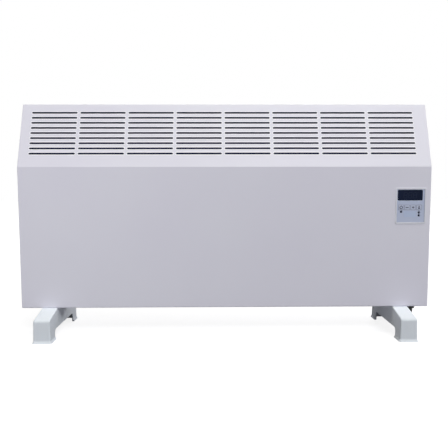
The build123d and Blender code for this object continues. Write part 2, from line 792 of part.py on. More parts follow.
# Control box: moulded tray on the inside of the front, with posts for the board and two ears
stud_places = [(control_x, control_z - ear_z - box_wall / 2), (control_x, control_z + ear_z + box_wall / 2)]
with BuildPart() as control_box:
    with BuildSketch(front_plane(box_back_y)):
        with Locations((control_x, control_z)):
            RectangleRounded(box_inner_width + 2 * box_wall, box_inner_height + 2 * box_wall, 2 * box_wall)
    extrude(amount=box_depth)
    with BuildSketch(front_plane(inside_front_y)):
        with Locations((control_x, control_z - ear_z), (control_x, control_z + ear_z)):
            Rectangle(box_ear_width, box_ear + 2 * box_wall)
    extrude(amount=-box_ear_sheet)
    with BuildSketch(front_plane(box_back_y - box_wall)):
        with Locations((control_x, control_z)):
            RectangleRounded(box_inner_width, box_inner_height, box_wall)
    extrude(amount=box_depth, mode=Mode.SUBTRACT)
    with BuildSketch(front_plane(box_back_y - box_wall)):
        with Locations(*board_holes):
            Rectangle(box_post_width, box_post_width)
    extrude(amount=box_back_y - box_wall - board_back_y)
    with BuildSketch(front_plane(board_back_y)):
        with Locations(*board_holes):
            Circle(small_screw_radius + slip_gap)
    extrude(amount=-box_post_hole, mode=Mode.SUBTRACT)
    with BuildSketch(front_plane(box_back_y)):
        with Locations((socket_x, socket_z)):
            Rectangle(socket_size[0] + 2 * box_port_gap, socket_size[2] + 2 * box_port_gap)
    extrude(amount=2 * box_wall, mode=Mode.SUBTRACT)
    with BuildSketch(front_plane(inside_front_y)):
        with Locations(*stud_places):
            Circle(stud_radius + screw_gap)
    extrude(amount=-2 * box_ear_sheet, mode=Mode.SUBTRACT)
save(control_box.part, "control_box")
with BuildPart() as box_studs:
    with BuildSketch(front_plane(inside_front_y)):
        with Locations(*stud_places):
            Circle(stud_radius)
    extrude(amount=-stud_length)
save(box_studs.part, "box_studs")
with BuildPart() as box_nuts:
    with BuildSketch(front_plane(inside_front_y + box_ear_sheet)):
        with Locations(*stud_places):
            RegularPolygon(box_nut_radius, 6)
            Circle(stud_radius + slip_gap, mode=Mode.SUBTRACT)
    extrude(amount=-box_nut_height)
save(box_nuts.part, "box_nuts")

# Heating element: X-section aluminium bar with ribbed wings on a straight sheathed heater
fins_left = bracket_left_x + fin_margin
fins_right = bracket_right_x - fin_margin
wing_length = wing_reach - core_radius / 2
with BuildPart() as element_fins:
    with BuildSketch(Plane.YZ.offset(fins_left)):
        with Locations((element_y, element_z)):
            Circle(core_radius)
            with PolarLocations(core_radius / 2 + wing_length / 2, 4, start_angle=45):
                Rectangle(wing_length, wing_sheet)
            for place in rib_places:
                with PolarLocations(place, 4, start_angle=45):
                    Rectangle(rib_sheet, rib_length)
            Circle(heater_radius + slip_gap, mode=Mode.SUBTRACT)
    extrude(amount=fins_right - fins_left)
save(element_fins.part, "element_fins")
with BuildPart() as heater_sheath:
    with BuildSketch(Plane.YZ.offset(heater_left)):
        with Locations((element_y, element_z)):
            Circle(heater_radius)
    extrude(amount=heater_right - heater_left)
save(heater_sheath.part, "heater_sheath")
with BuildPart() as heater_insulators:
    for x in (heater_left - insulator_length, heater_right):
        with BuildSketch(Plane.YZ.offset(x)):
            with Locations((element_y, element_z)):
                Circle(insulator_radius)
        extrude(amount=insulator_length)
    chamfer(heater_insulators.edges().filter_by(GeomType.CIRCLE), length=case_ease)
save(heater_insulators.part, "heater_insulators")
tab_left = heater_left - insulator_length - tab_length
tab_right = heater_right + insulator_length + tab_length
with BuildPart() as heater_tabs:
    for x in (tab_left, tab_right - tab_length):
        with BuildSketch(Plane.YZ.offset(x)):
            with Locations((element_y, element_z)):
                Rectangle(tab_sheet, tab_width)
        extrude(amount=tab_length)
save(heater_tabs.part, "heater_tabs")

# Two brackets carry the heater, each on a flange against the back panel
for name, x, turn in (("left", bracket_left_x, -1), ("right", bracket_right_x, 1)):
    with BuildPart() as bracket:
        with BuildSketch(Plane.XY.offset(element_z - bracket_tall / 2)):
            draw_strip([(x, element_y - bracket_reach), (x, shell_back_y - bracket_sheet / 2),
                        (x + turn * bracket_flange, shell_back_y - bracket_sheet / 2)],
                       bracket_sheet, bracket_sheet)
        extrude(amount=bracket_tall)
        # nose tapers from the full height at the back
        with BuildSketch(Plane.YZ.offset(x - bracket_flange / 2)):
            nose_y = element_y - bracket_reach - bracket_sheet
            for sign in (-1, 1):
                with BuildLine():
                    Polyline(
                        (nose_y, element_z + sign * bracket_nose / 2),
                        (element_y, element_z + sign * bracket_nose / 2),
                        (shell_back_y - bracket_flange, element_z + sign * (bracket_tall / 2 + bracket_sheet)),
                        (nose_y, element_z + sign * (bracket_tall / 2 + bracket_sheet)), close=True)
                make_face()
            with Locations((element_y, element_z)):
                Circle(bush_radius + fit_gap)
        extrude(amount=bracket_flange, mode=Mode.SUBTRACT)
    save(bracket.part, f"element_bracket_{name}")
with BuildPart() as element_bushes:
    for x, turn in ((bracket_left_x, 1), (bracket_right_x, -1)):
        start = x - turn * (bracket_sheet / 2 + bush_lip)
        with BuildSketch(Plane.YZ.offset(start)):
            with Locations((element_y, element_z)):
                Circle(bush_radius)
        extrude(amount=turn * (bracket_sheet + 2 * bush_lip))
        with BuildSketch(Plane.YZ.offset(x + turn * bracket_sheet / 2)):
            with Locations((element_y, element_z)):
                Circle(bush_radius + bush_flange)
        extrude(amount=turn * bush_flange_sheet)
    for x in (bracket_left_x, bracket_right_x):
        with Locations((x, element_y, element_z)):
            Cylinder(heater_radius + slip_gap, 4 * bush_radius, rotation=(0, 90, 0), mode=Mode.SUBTRACT)
save(element_bushes.part, "element_bushes")

# Heat shield: hat-shaped sheet on the back panel, behind the element
shield_z = bottom_z + shield_low
shield_left = bracket_left_x + bracket_sheet
shield_right = bracket_right_x - bracket_sheet
shield_back = shell_back_y - shield_sheet / 2
shield_front = shell_back_y - shield_stand
with BuildPart() as heat_shield:
    with BuildSketch(Plane.YZ.offset(shield_left + seat_gap)):
        draw_strip([(shield_back, shield_z), (shield_back, shield_z + shield_flange),
                    (shield_front, shield_z + shield_flange + shield_step),
                    (shield_front, shield_z + shield_tall - shield_flange - shield_step),
                    (shield_back, shield_z + shield_tall - shield_flange),
                    (shield_back, shield_z + shield_tall)], shield_bend, shield_sheet)
    extrude(amount=shield_right - shield_left - 2 * seat_gap)
save(heat_shield.part, "heat_shield")

# Partition between the hot chamber and the control side, with a flange against the back panel
partition_low = floor_z + seat_gap
lead_hole_places = [(element_y, element_z), (lead_run_y, lead_run_z)]
with BuildPart() as partition_plate:
    with BuildSketch(Plane.XY.offset(partition_low)):
        draw_strip([(partition_x, inside_front_y + seat_gap), (partition_x, shell_back_y - partition_sheet / 2),
                    (partition_x + partition_flange, shell_back_y - partition_sheet / 2)],
                   partition_sheet, partition_sheet)
    extrude(amount=partition_top - partition_low)
    chamfer(partition_plate.edges().filter_by(Axis.X).group_by(Axis.Z)[0].sort_by(Axis.Y)[0], length=fold_radius)
    with BuildSketch(Plane.YZ.offset(partition_x - partition_flange)):
        with Locations(*lead_hole_places):
            Circle(grommet_radius)
        with Locations((cutout_y, cutout_z)):
            Circle(cutout_radius + fit_gap)
        # notch over the lip of the casing
        with Locations((shell_back_y, bottom_z + back_lip / 2)):
            Rectangle(2 * (sheet + seat_gap), back_lip + 2 * seat_gap)
    extrude(amount=3 * partition_flange, mode=Mode.SUBTRACT)
save(partition_plate.part, "partition_plate")
with BuildPart() as lead_grommets:
    for y, z in lead_hole_places:
        with BuildSketch(Plane.YZ.offset(partition_x - partition_sheet / 2 - grommet_lip_sheet)):
            with Locations((y, z)):
                Circle(grommet_radius - fit_gap)
        extrude(amount=partition_sheet + 2 * grommet_lip_sheet)
        for x in (partition_x - partition_sheet / 2 - grommet_lip_sheet, partition_x + partition_sheet / 2):
            with BuildSketch(Plane.YZ.offset(x)):
                with Locations((y, z)):
                    Circle(grommet_radius + grommet_lip)
            extrude(amount=grommet_lip_sheet)
        with Locations((partition_x, y, z)):
            Cylinder(lead_radius + fit_gap, 4 * grommet_radius, rotation=(0, 90, 0), mode=Mode.SUBTRACT)
save(lead_grommets.part, "lead_grommets")

# Thermal cut-out: can through the partition, ears and body on the control side
ear_x = partition_x + partition_sheet / 2
with BuildPart() as thermal_cutout:
    with BuildSketch(Plane.YZ.offset(ear_x - cutout_can)):
        with Locations((cutout_y, cutout_z)):
            Circle(cutout_radius)
    extrude(amount=cutout_can + cutout_ear_sheet + cutout_body)
    with BuildSketch(Plane.YZ.offset(ear_x)):
        with Locations((cutout_y, cutout_z)):
            SlotOverall(cutout_ear_length, cutout_ear_width, rotation=90)
    extrude(amount=cutout_ear_sheet)
    for side in (-1, 1):
        with BuildSketch(Plane.YZ.offset(ear_x + cutout_ear_sheet + cutout_body)):
            with Locations((cutout_y, cutout_z + side * cutout_tab_offset)):
                Rectangle(tab_width, tab_sheet)
        extrude(amount=cutout_tab_length)
save(thermal_cutout.part, "thermal_cutout")

# Room temperature sensor in its clip on the casing floor
with BuildPart() as temperature_sensor:
    with BuildSketch(Plane.YZ.offset(sensor_x)):
        with Locations((sensor_y, sensor_z)):
            Circle(sensor_radius)
    extrude(amount=sensor_length)
    chamfer(temperature_sensor.faces().sort_by(Axis.X)[0].edges(), length=sensor_ease)
save(temperature_sensor.part, "temperature_sensor")
with BuildPart() as sensor_clip:
    with BuildSketch(Plane.YZ.offset(sensor_x + (sensor_length - clip_length) / 2)):
        with Locations((sensor_y, sensor_z)):
            Circle(sensor_radius + sensor_clip_wall)
        with Locations((sensor_y, (sensor_z + floor_z) / 2)):
            Rectangle(clip_stem, sensor_z - floor_z)
        with Locations((sensor_y, floor_z + clip_base_sheet / 2)):
            Rectangle(sensor_clip_base, clip_base_sheet)
        with Locations((sensor_y, sensor_z)):
            Circle(sensor_radius + slip_gap, mode=Mode.SUBTRACT)
    extrude(amount=clip_length)
save(sensor_clip.part, "sensor_clip")

# Terminal block on the back panel, with its clamp screws
with BuildPart() as terminal_block:
    with BuildSketch(front_plane(shell_back_y)):
        with Locations((block_x, block_z + block_size[2] / 2)):
            Rectangle(block_size[0], block_size[2])
    extrude(amount=block_size[1])
    chamfer(terminal_block.faces().sort_by(Axis.Y)[0].edges(), length=block_ease)
    with BuildSketch(front_plane(shell_back_y - block_size[1])):
        with Locations((block_x, block_z + block_size[2] / 2)):
            with GridLocations(block_size[0] / block_poles, block_size[2] / 2, block_poles, 2):
                Circle(small_screw_head + fit_gap)
    extrude(amount=-clamp_depth, mode=Mode.SUBTRACT)
save(terminal_block.part, "terminal_block")
with BuildPart() as terminal_screws:
    with BuildSketch(front_plane(shell_back_y - block_size[1] + clamp_depth)):
        with Locations((block_x, block_z + block_size[2] / 2)):
            with GridLocations(block_size[0] / block_poles, block_size[2] / 2, block_poles, 2):
                Circle(small_screw_head)
    extrude(amount=clamp_head)
save(terminal_screws.part, "terminal_screws")

# Earth stud on the back panel with its nut
with BuildPart() as earth_stud:
    with BuildSketch(front_plane(shell_back_y)):
        with Locations((earth_x, earth_z)):
            Circle(earth_radius)
    extrude(amount=earth_length)
    with BuildSketch(front_plane(shell_back_y)):
        with Locations((earth_x, earth_z)):
            Circle(2 * earth_radius)
    extrude(amount=earth_base)
save(earth_stud.part, "earth_stud")
with BuildPart() as earth_nut:
    with BuildSketch(front_plane(shell_back_y - earth_base - 2 * lead_radius)):
        with Locations((earth_x, earth_z)):
            RegularPolygon(earth_nut_radius, 6)
            Circle(earth_radius + slip_gap, mode=Mode.SUBTRACT)
    extrude(amount=earth_nut_height)
save(earth_nut.part, "earth_nut")

# Leads between the socket on the board, the cut-out, the element and the terminal block
socket_xs = [socket_x + (i - (socket_ways - 1) / 2) * socket_pitch for i in range(socket_ways)]
block_lead_y = shell_back_y - block_size[1] / 2
block_top = block_z + block_size[2]
cutout_tab_x = ear_x + cutout_ear_sheet + cutout_body + cutout_tab_length
lead_back_y = block_lead_y - lead_hang
lead_low_y = element_y + 2 * lead_aside
for name, x in (("live", socket_xs[3]), ("neutral", socket_xs[5])):
    save(build_lead([
        (x, socket_back_y, socket_z), (x, lead_back_y, socket_z), (x, lead_back_y, block_top + lead_slack),
        (x, block_lead_y, block_top + lead_entry), (x, block_lead_y, block_top)]), f"lead_{name}")
save(build_lead([
    (socket_xs[4], socket_back_y, socket_z), (socket_xs[4], cutout_y + lead_aside, socket_z),
    (socket_xs[4] - lead_aside, cutout_y, cutout_z + cutout_tab_offset),
    (cutout_tab_x, cutout_y, cutout_z + cutout_tab_offset)]), "lead_to_cutout")
element_lead_x = socket_xs[2] - 2 * lead_radius
save(build_lead([
    (cutout_tab_x, cutout_y, cutout_z - cutout_tab_offset),
    (element_lead_x, cutout_y, cutout_z - cutout_tab_offset),
    (element_lead_x, element_y, element_z), (tab_right, element_y, element_z)]), "lead_to_element")
save(build_lead([
    (tab_left, element_y, element_z), (tab_left - lead_loop, element_y, element_z),
    (tab_left - lead_loop, lead_low_y, lead_run_z + lead_climb / 2),
    (tab_left + lead_loop / 2, lead_run_y, lead_run_z),
    (socket_xs[0] - lead_aside, lead_run_y, lead_run_z), (socket_xs[0], lead_low_y, lead_run_z + lead_climb),
    (socket_xs[0], lead_low_y, socket_z), (socket_xs[0], socket_back_y, socket_z)]), "lead_return")
sensor_end = sensor_x + sensor_length
save(build_lead([
    (sensor_end, sensor_y, sensor_z), (sensor_end + lead_loop - lead_aside, sensor_y, sensor_z),
    (sensor_end + lead_loop, lead_low_y, sensor_z + lead_climb), (socket_xs[6], lead_low_y, socket_z),
    (socket_xs[6], socket_back_y, socket_z)]), "lead_sensor")
earth_lead_y = shell_back_y - earth_base - lead_radius
save(build_lead([
    (earth_x, block_lead_y, block_z), (earth_x, block_lead_y, block_z - earth_entry),
    (earth_x, earth_lead_y, block_z - 2 * earth_entry),
    (earth_x, earth_lead_y, earth_z + 2 * earth_radius)]), "lead_earth")
with BuildPart() as lead_clips:
    for step in clip_steps:
        with BuildSketch(Plane.YZ.offset(step * vent_pitch - clip_length / 2)):
            with Locations((lead_run_y, lead_run_z)):
                Circle(lead_radius + clip_wall)
            with Locations(((lead_run_y + shell_back_y) / 2, lead_run_z)):
                Rectangle(shell_back_y - lead_run_y, clip_stem)
            with Locations((shell_back_y - clip_base_sheet / 2, lead_run_z)):
                Rectangle(clip_base_sheet, clip_base)
            with Locations((lead_run_y, lead_run_z)):
                Circle(lead_radius + slip_gap, mode=Mode.SUBTRACT)
        extrude(amount=clip_length)
save(lead_clips.part, "lead_clips")
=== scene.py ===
import json
import math
import bmesh
import bpy
import numpy as np
from mathutils import Matrix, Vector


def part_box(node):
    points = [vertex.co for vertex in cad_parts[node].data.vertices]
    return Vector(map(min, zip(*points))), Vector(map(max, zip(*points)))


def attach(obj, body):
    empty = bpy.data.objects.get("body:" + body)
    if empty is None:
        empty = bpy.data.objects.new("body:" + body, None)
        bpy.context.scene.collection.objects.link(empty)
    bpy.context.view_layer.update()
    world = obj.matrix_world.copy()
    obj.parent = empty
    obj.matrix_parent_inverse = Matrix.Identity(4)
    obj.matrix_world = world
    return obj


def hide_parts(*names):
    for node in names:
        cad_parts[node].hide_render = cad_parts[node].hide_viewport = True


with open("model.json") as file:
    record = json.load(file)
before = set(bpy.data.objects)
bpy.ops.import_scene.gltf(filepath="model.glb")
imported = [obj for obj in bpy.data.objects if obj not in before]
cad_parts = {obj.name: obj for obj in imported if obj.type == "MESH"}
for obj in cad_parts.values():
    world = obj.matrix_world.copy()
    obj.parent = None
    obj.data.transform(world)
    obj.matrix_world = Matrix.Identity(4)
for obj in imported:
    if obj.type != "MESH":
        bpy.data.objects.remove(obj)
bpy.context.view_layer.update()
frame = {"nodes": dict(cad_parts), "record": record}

nodes = frame["nodes"]
print("frame loaded with", len(nodes), "CAD pieces")


# small helpers
def paint(red, green, blue):
    # screen colour 0-255 to the linear colour that the shader wants
    part = np.array([red, green, blue]) / 255
    part = np.where(part <= 0.04045, part / 12.92, ((part + 0.055) / 1.055) ** 2.4)
    return (*part.tolist(), 1.0)


def middleOf(low, high):
    # middle of a box, across and up
    return (low.x + high.x) / 2, (low.z + high.z) / 2


def gridQuads(rows, columns, closeRows=False, closeColumns=False):
    # corner numbers of the quads of a rows x columns grid of points, wrapped round where closed
    r = np.arange(rows if closeRows else rows - 1)[:, None]
    c = np.arange(columns if closeColumns else columns - 1)[None, :]
    rNext, cNext = (r + 1) % rows, (c + 1) % columns
    quads = [r * columns + c, r * columns + cNext, rNext * columns + cNext, rNext * columns + c]
    return np.stack(quads, -1).reshape(-1, 4)


def copiedQuads(quads, copies, pointCount):
    # the same quads for each of several copies of a shape
    return (quads + np.arange(copies)[:, None, None] * pointCount).reshape(-1, 4)


def addPiece(name, points, faces, material, slot, body="heater", smooth=True, crease=35):
    # turns arrays of points and corner numbers into a piece that rides on a body
    mesh = bpy.data.meshes.new(name)
    mesh.from_pydata(np.asarray(points, float).reshape(-1, 3).tolist(), [], [list(f) for f in faces])
    shell = bmesh.new()
    shell.from_mesh(mesh)
    bmesh.ops.remove_doubles(shell, verts=shell.verts, dist=1e-7)  # closes poles and seams
    bmesh.ops.recalc_face_normals(shell, faces=shell.faces)
    shell.to_mesh(mesh)
    shell.free()
    mesh.polygons.foreach_set("use_smooth", np.full(len(mesh.polygons), smooth))
    if smooth:
        mesh.set_sharp_from_angle(angle=math.radians(crease))
    mesh.update()
    piece = bpy.data.objects.new(name, mesh)
    bpy.context.scene.collection.objects.link(piece)
    mesh.materials.append(material)
    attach(piece, body)
    return piece


# shader helpers
def feed(tree, sockets, values):
    # a socket given as a value is linked, anything else is set
    for key, value in values.items():
        if isinstance(value, bpy.types.NodeSocket):
            tree.links.new(value, sockets[key])
        else:
            sockets[key].default_value = value


def addNode(tree, kind, values=None, **settings):
    # node with its settings and input values
    made = tree.nodes.new(kind)
    for key, value in settings.items():
        setattr(made, key, value)
    feed(tree, made.inputs, values or {})
    return made


def compute(tree, operation, first, second):
    # one step of arithmetic
    return addNode(tree, "ShaderNodeMath", {0: first, 1: second}, operation=operation).outputs[0]


def noise(tree, place, scale, detail, roughness=0.5):
    # cloudy values round 0.5, with about scale lumps in a metre
    values = {"Vector": place, "Scale": scale, "Detail": detail, "Roughness": roughness}
    return addNode(tree, "ShaderNodeTexNoise", values).outputs["Fac"]


def stretch(tree, value, low, high, newLow=0.0, newHigh=1.0):
    # carries the range low to high over to newLow to newHigh
    values = {"Value": value, "From Min": low, "From Max": high, "To Min": newLow, "To Max": newHigh}
    return addNode(tree, "ShaderNodeMapRange", values).outputs[0]


def blend(tree, factor, first, second):
    # mix of two colours
    values = {"Factor": factor, "A": first, "B": second}
    return addNode(tree, "ShaderNodeMix", values, data_type="RGBA").outputs["Result"]


def newGroup(name, inputs, outputs):
    # empty node group with named sockets; inputs hold a kind and a starting value
    group = bpy.data.node_groups.new(name, "ShaderNodeTree")
    for label, (kind, start) in inputs.items():
        socket = group.interface.new_socket(name=label, in_out="INPUT", socket_type="NodeSocket" + kind)
        if start is not None:
            socket.default_value = start
    for label, kind in outputs.items():
        group.interface.new_socket(name=label, in_out="OUTPUT", socket_type="NodeSocket" + kind)
    return group, group.nodes.new("NodeGroupInput").outputs, group.nodes.new("NodeGroupOutput").inputs


# shared effects, with the parts of a noise's range that they use
driftRange, grainRange, brokenRange = (0.35, 0.65), (0.3, 0.7), (0.4, 0.6)


def buildSkin():
    # cast or sprayed skin: slow drift between two tints, and fine grain for roughness and relief
    group, given, result = newGroup("skinTexture", {
        "Place": ("Vector", None),
        "Tint": ("Color", (0.8, 0.8, 0.8, 1)),
        "Drift": ("Color", (0.7, 0.7, 0.7, 1)),
        "Drift Size": ("Float", 0.2),
        "Grain Size": ("Float", 0.001),
        "Smooth": ("Float", 0.4),
        "Rough": ("Float", 0.5)},
        {"Color": "Color", "Roughness": "Float", "Height": "Float"})
    drift = noise(group, given["Place"], compute(group, "DIVIDE", 1.0, given["Drift Size"]), 2.0)
    grain = noise(group, given["Place"], compute(group, "DIVIDE", 1.0, given["Grain Size"]), 3.0, 0.6)
    feed(group, result, {
        "Color": blend(group, stretch(group, drift, *driftRange), given["Tint"], given["Drift"]),
        "Roughness": stretch(group, grain, *grainRange, given["Smooth"], given["Rough"]),
        "Height": grain})
    return group


def buildDrawn():
    # rolled or drawn metal: noise pulled out along one axis, with cloudy patches of another tint
    group, given, result = newGroup("drawnMetal", {
        "Place": ("Vector", None),
        "Tint": ("Color", (0.6, 0.6, 0.6, 1)),
        "Patch": ("Color", (0.5, 0.5, 0.5, 1)),
        "Pull": ("Vector", (40.0, 900.0, 900.0)),
        "Patch Size": ("Float", 0.02),
        "Smooth": ("Float", 0.3),
        "Rough": ("Float", 0.5)},
        {"Color": "Color", "Roughness": "Float", "Height": "Float"})
    pulled = addNode(group, "ShaderNodeVectorMath", {0: given["Place"], 1: given["Pull"]},
                     operation="MULTIPLY").outputs[0]
    lines = noise(group, pulled, 1.0, 3.0)
    spangle = addNode(group, "ShaderNodeTexVoronoi", {
        "Vector": given["Place"], "Scale": compute(group, "DIVIDE", 1.0, given["Patch Size"])})
    patch = addNode(group, "ShaderNodeSeparateColor", {"Color": spangle.outputs["Color"]}).outputs[0]
    feed(group, result, {
        "Color": blend(group, patch, given["Tint"], given["Patch"]),
        "Roughness": stretch(group, lines, *grainRange, given["Smooth"], given["Rough"]),
        "Height": lines})
    return group


def buildEdgeWearAndHighlight():
    # finds edges by how far a rounded normal leans from the true one, breaks them up and lightens them:
    # partly wear, partly a painted highlight on the edges
    group, given, result = newGroup("edgeWearAndHighlight", {
        "Place": ("Vector", None),
        "Color": ("Color", (0.5, 0.5, 0.5, 1)),
        "Wear And Highlight": ("Color", (0.8, 0.8, 0.8, 1)),
        "Width": ("Float", 0.0006),
        "Amount": ("Float", 0.4)},
        {"Color": "Color", "Mask": "Float"})
    flat, sharp, patchScale = 0.995, 0.85, 160.0
    rounded = addNode(group, "ShaderNodeBevel", {"Radius": given["Width"]}, samples=4).outputs[0]
    true = addNode(group, "ShaderNodeNewGeometry").outputs["Normal"]
    lean = addNode(group, "ShaderNodeVectorMath", {0: rounded, 1: true}, operation="DOT_PRODUCT")
    edge = stretch(group, lean.outputs["Value"], flat, sharp)
    broken = stretch(group, noise(group, given["Place"], patchScale, 3.0), *brokenRange)
    mask = compute(group, "MULTIPLY", compute(group, "MULTIPLY", edge, broken), given["Amount"])
    feed(group, result, {"Color": blend(group, mask, given["Color"], given["Wear And Highlight"]), "Mask": mask})
    return group


def buildInnerShade():
    # painted shade: tells the inner side of a hollow shell, where the true normal points back at the shell's
    # middle, and paints it the dark colour that stands in for the shade inside
    group, given, result = newGroup("innerShade", {
        "Place": ("Vector", None),
        "Middle": ("Vector", (0.0, 0.0, 0.3)),
        "Color": ("Color", (0.8, 0.8, 0.8, 1)),
        "Inside": ("Color", (0.05, 0.05, 0.05, 1))},
        {"Color": "Color", "Mask": "Float"})
    true = addNode(group, "ShaderNodeNewGeometry").outputs["True Normal"]
    away = addNode(group, "ShaderNodeVectorMath", {0: given["Place"], 1: given["Middle"]},
                   operation="SUBTRACT").outputs[0]
    facing = addNode(group, "ShaderNodeVectorMath", {0: true, 1: away}, operation="DOT_PRODUCT")
    mask = compute(group, "LESS_THAN", facing.outputs["Value"], 0.0)
    feed(group, result, {"Color": blend(group, mask, given["Color"], given["Inside"]), "Mask": mask})
    return group


skinTexture, drawnMetal, edgeWearAndHighlight, innerShade = buildSkin(), buildDrawn(), buildEdgeWearAndHighlight(), buildInnerShade()


def newMaterial(name):
    # fresh material: its tree, its surface's sockets and the piece's own coordinates
    material = bpy.data.materials.new(name)
    material.use_nodes = True
    tree = material.node_tree
    place = addNode(tree, "ShaderNodeTexCoord").outputs["Object"]
    return material, tree, tree.nodes["Principled BSDF"].inputs, place


def dressSurface(tree, surface, texture, color, relief, shader):
    # colour, roughness and relief from a texture group, and the surface's other values
    bump = addNode(tree, "ShaderNodeBump", {
        "Height": texture["Height"], "Strength": 1.0, "Distance": relief}).outputs[0]
    feed(tree, surface, {"Base Color": color, "Roughness": texture["Roughness"], "Normal": bump})
    feed(tree, surface, {key.replace("_", " "): value for key, value in shader.items()})


def skinMaterial(name, tint, drift, driftSize=0.2, grainSize=0.001, relief=0.00002, smooth=0.4, rough=0.55,
                 worn=None, wornAmount=0.3, wearAndHighlightWidth=0.0005, inside=None, middle=None, **shader):
    # paint, plastic, rubber or lacquer
    material, tree, surface, place = newMaterial(name)
    skin = addNode(tree, "ShaderNodeGroup", {
        "Place": place, "Tint": tint, "Drift": drift, "Drift Size": driftSize, "Grain Size": grainSize,
        "Smooth": smooth, "Rough": rough}, node_tree=skinTexture).outputs
    color = skin["Color"]
    # edges lightened: partly wear, partly painted highlight
    if worn:
        color = addNode(tree, "ShaderNodeGroup", {
            "Place": place, "Color": color, "Wear And Highlight": worn, "Width": wearAndHighlightWidth, "Amount": wornAmount},
            node_tree=edgeWearAndHighlight).outputs["Color"]
    # faces turned towards the shell's middle get the inside colour: painted shade
    if inside:
        color = addNode(tree, "ShaderNodeGroup", {
            "Place": place, "Middle": middle, "Color": color, "Inside": inside},
            node_tree=innerShade).outputs["Color"]
    dressSurface(tree, surface, skin, color, relief, shader)
    return material


def metalMaterial(name, tint, patch, pull, patchSize=0.02, relief=0.00001, smooth=0.3, rough=0.5):
    # bare or plated metal
    material, tree, surface, place = newMaterial(name)
    drawn = addNode(tree, "ShaderNodeGroup", {
        "Place": place, "Tint": tint, "Patch": patch, "Pull": pull, "Patch Size": patchSize,
        "Smooth": smooth, "Rough": rough}, node_tree=drawnMetal).outputs
    dressSurface(tree, surface, drawn, drawn["Color"], relief, {"Metallic": 1.0})
    return material


# finishes, one for each material slot of the record
coat = dict(driftSize=0.35, grainSize=0.0011, relief=0.00003, smooth=0.42, rough=0.56)
moulded = dict(driftSize=0.08, grainSize=0.0005, relief=0.00002, smooth=0.5, rough=0.65)
rubbery = dict(driftSize=0.03, grainSize=0.0004, relief=0.00001, smooth=0.55, rough=0.75)
# painted shade: dark navy on the faces that point back at the casing's middle, in place of the shade inside,
# so the slots read dark
slotShade = dict(inside=paint(14, 10, 74), middle=(0.0, 0.0, 0.287))  # what shows through the casing's slots
skins = {
    "casing_paint": dict(coat, **slotShade, tint=paint(231, 230, 242), drift=paint(228, 226, 240)),
    "foot_plastic": dict(moulded, tint=paint(238, 243, 250), drift=paint(235, 241, 249),
                         Specular_IOR_Level=0.05),
    "bezel_plastic": dict(moulded, tint=paint(228, 229, 239), drift=paint(225, 226, 236)),
    "overlay_film": dict(moulded, tint=paint(193, 201, 225), drift=paint(188, 197, 223), grainSize=0.0003),
    "key_plastic": dict(moulded, tint=paint(196, 203, 224), drift=paint(192, 199, 221), grainSize=0.0003),
    "black_plastic": dict(moulded, tint=paint(26, 26, 29), drift=paint(33, 33, 36),
                          # the black plastic's edges are lightened: partly wear, partly painted highlight
                          worn=paint(84, 84, 88), wornAmount=0.4),
    "smoked_window": dict(tint=paint(17, 29, 56), drift=paint(13, 24, 48), driftSize=0.02, grainSize=0.0008,
                          relief=0.000002, smooth=0.08, rough=0.14, Specular_IOR_Level=0.08),
    "indicator_lens": dict(tint=paint(20, 20, 44), drift=paint(16, 16, 38), driftSize=0.002,
                           grainSize=0.0003, relief=0.000004, smooth=0.15, rough=0.25,
                           Specular_IOR_Level=0.15),
    "dark_component": dict(moulded, tint=paint(36, 36, 40), drift=paint(44, 44, 48)),
    "transformer_case": dict(moulded, tint=paint(52, 60, 84), drift=paint(60, 68, 92)),
    "pale_nylon": dict(moulded, tint=paint(226, 222, 208), drift=paint(218, 212, 196),
                       Subsurface_Weight=0.05),
    "board_laminate": dict(tint=paint(20, 86, 48), drift=paint(28, 100, 58), driftSize=0.01,
                           grainSize=0.0015, relief=0.00003, smooth=0.25, rough=0.4),
    "box_plastic": dict(moulded, tint=paint(196, 198, 202), drift=paint(188, 190, 196)),
    "ceramic": dict(rubbery, tint=paint(236, 232, 222), drift=paint(226, 220, 206)),
    "red_silicone": dict(rubbery, tint=paint(150, 52, 38), drift=paint(136, 44, 32)),
    "black_rubber": dict(rubbery, tint=paint(30, 30, 31), drift=paint(40, 40, 41)),
    "cutout_case": dict(moulded, tint=paint(66, 50, 40), drift=paint(56, 42, 34)),
    "sensor_resin": dict(tint=paint(22, 22, 26), drift=paint(30, 30, 34), driftSize=0.004,
                         grainSize=0.0008, relief=0.00002, smooth=0.18, rough=0.3),
    "lead_brown": dict(rubbery, tint=paint(94, 56, 34), drift=paint(84, 48, 30)),
    "lead_blue": dict(rubbery, tint=paint(40, 84, 168), drift=paint(34, 74, 152)),
    "lead_white": dict(rubbery, tint=paint(232, 231, 226), drift=paint(224, 222, 216)),
    "lead_green": dict(rubbery, tint=paint(84, 142, 48), drift=paint(196, 190, 60), driftSize=0.012),
}
metals = {
    "raw_aluminium": dict(tint=paint(206, 207, 210), patch=paint(196, 197, 201), pull=(14, 1100, 1100)),
    "heater_steel": dict(tint=paint(150, 146, 138), patch=paint(128, 118, 108), pull=(20, 900, 900),
                         patchSize=0.06),
    "plated_brass": dict(tint=paint(206, 190, 138), patch=paint(196, 178, 122), pull=(500, 500, 500)),
    "zinc_steel": dict(tint=paint(176, 179, 184), patch=paint(156, 160, 166), pull=(260, 30, 260),
                       patchSize=0.012),
    "zinc_fastener": dict(tint=paint(186, 188, 190), patch=paint(170, 172, 170), pull=(700, 700, 700),
                          patchSize=0.003, smooth=0.25, rough=0.42),
}
finishes = {slot: skinMaterial(slot, **values) for slot, values in skins.items()}
finishes.update({slot: metalMaterial(slot, **values) for slot, values in metals.items()})
for row in frame["record"]["subparts"]:
    mesh = nodes[row["node"]].data
    mesh.materials.clear()
    mesh.materials.append(finishes[row["material_slot"]])
print("finishes set on all CAD pieces:", len(finishes))
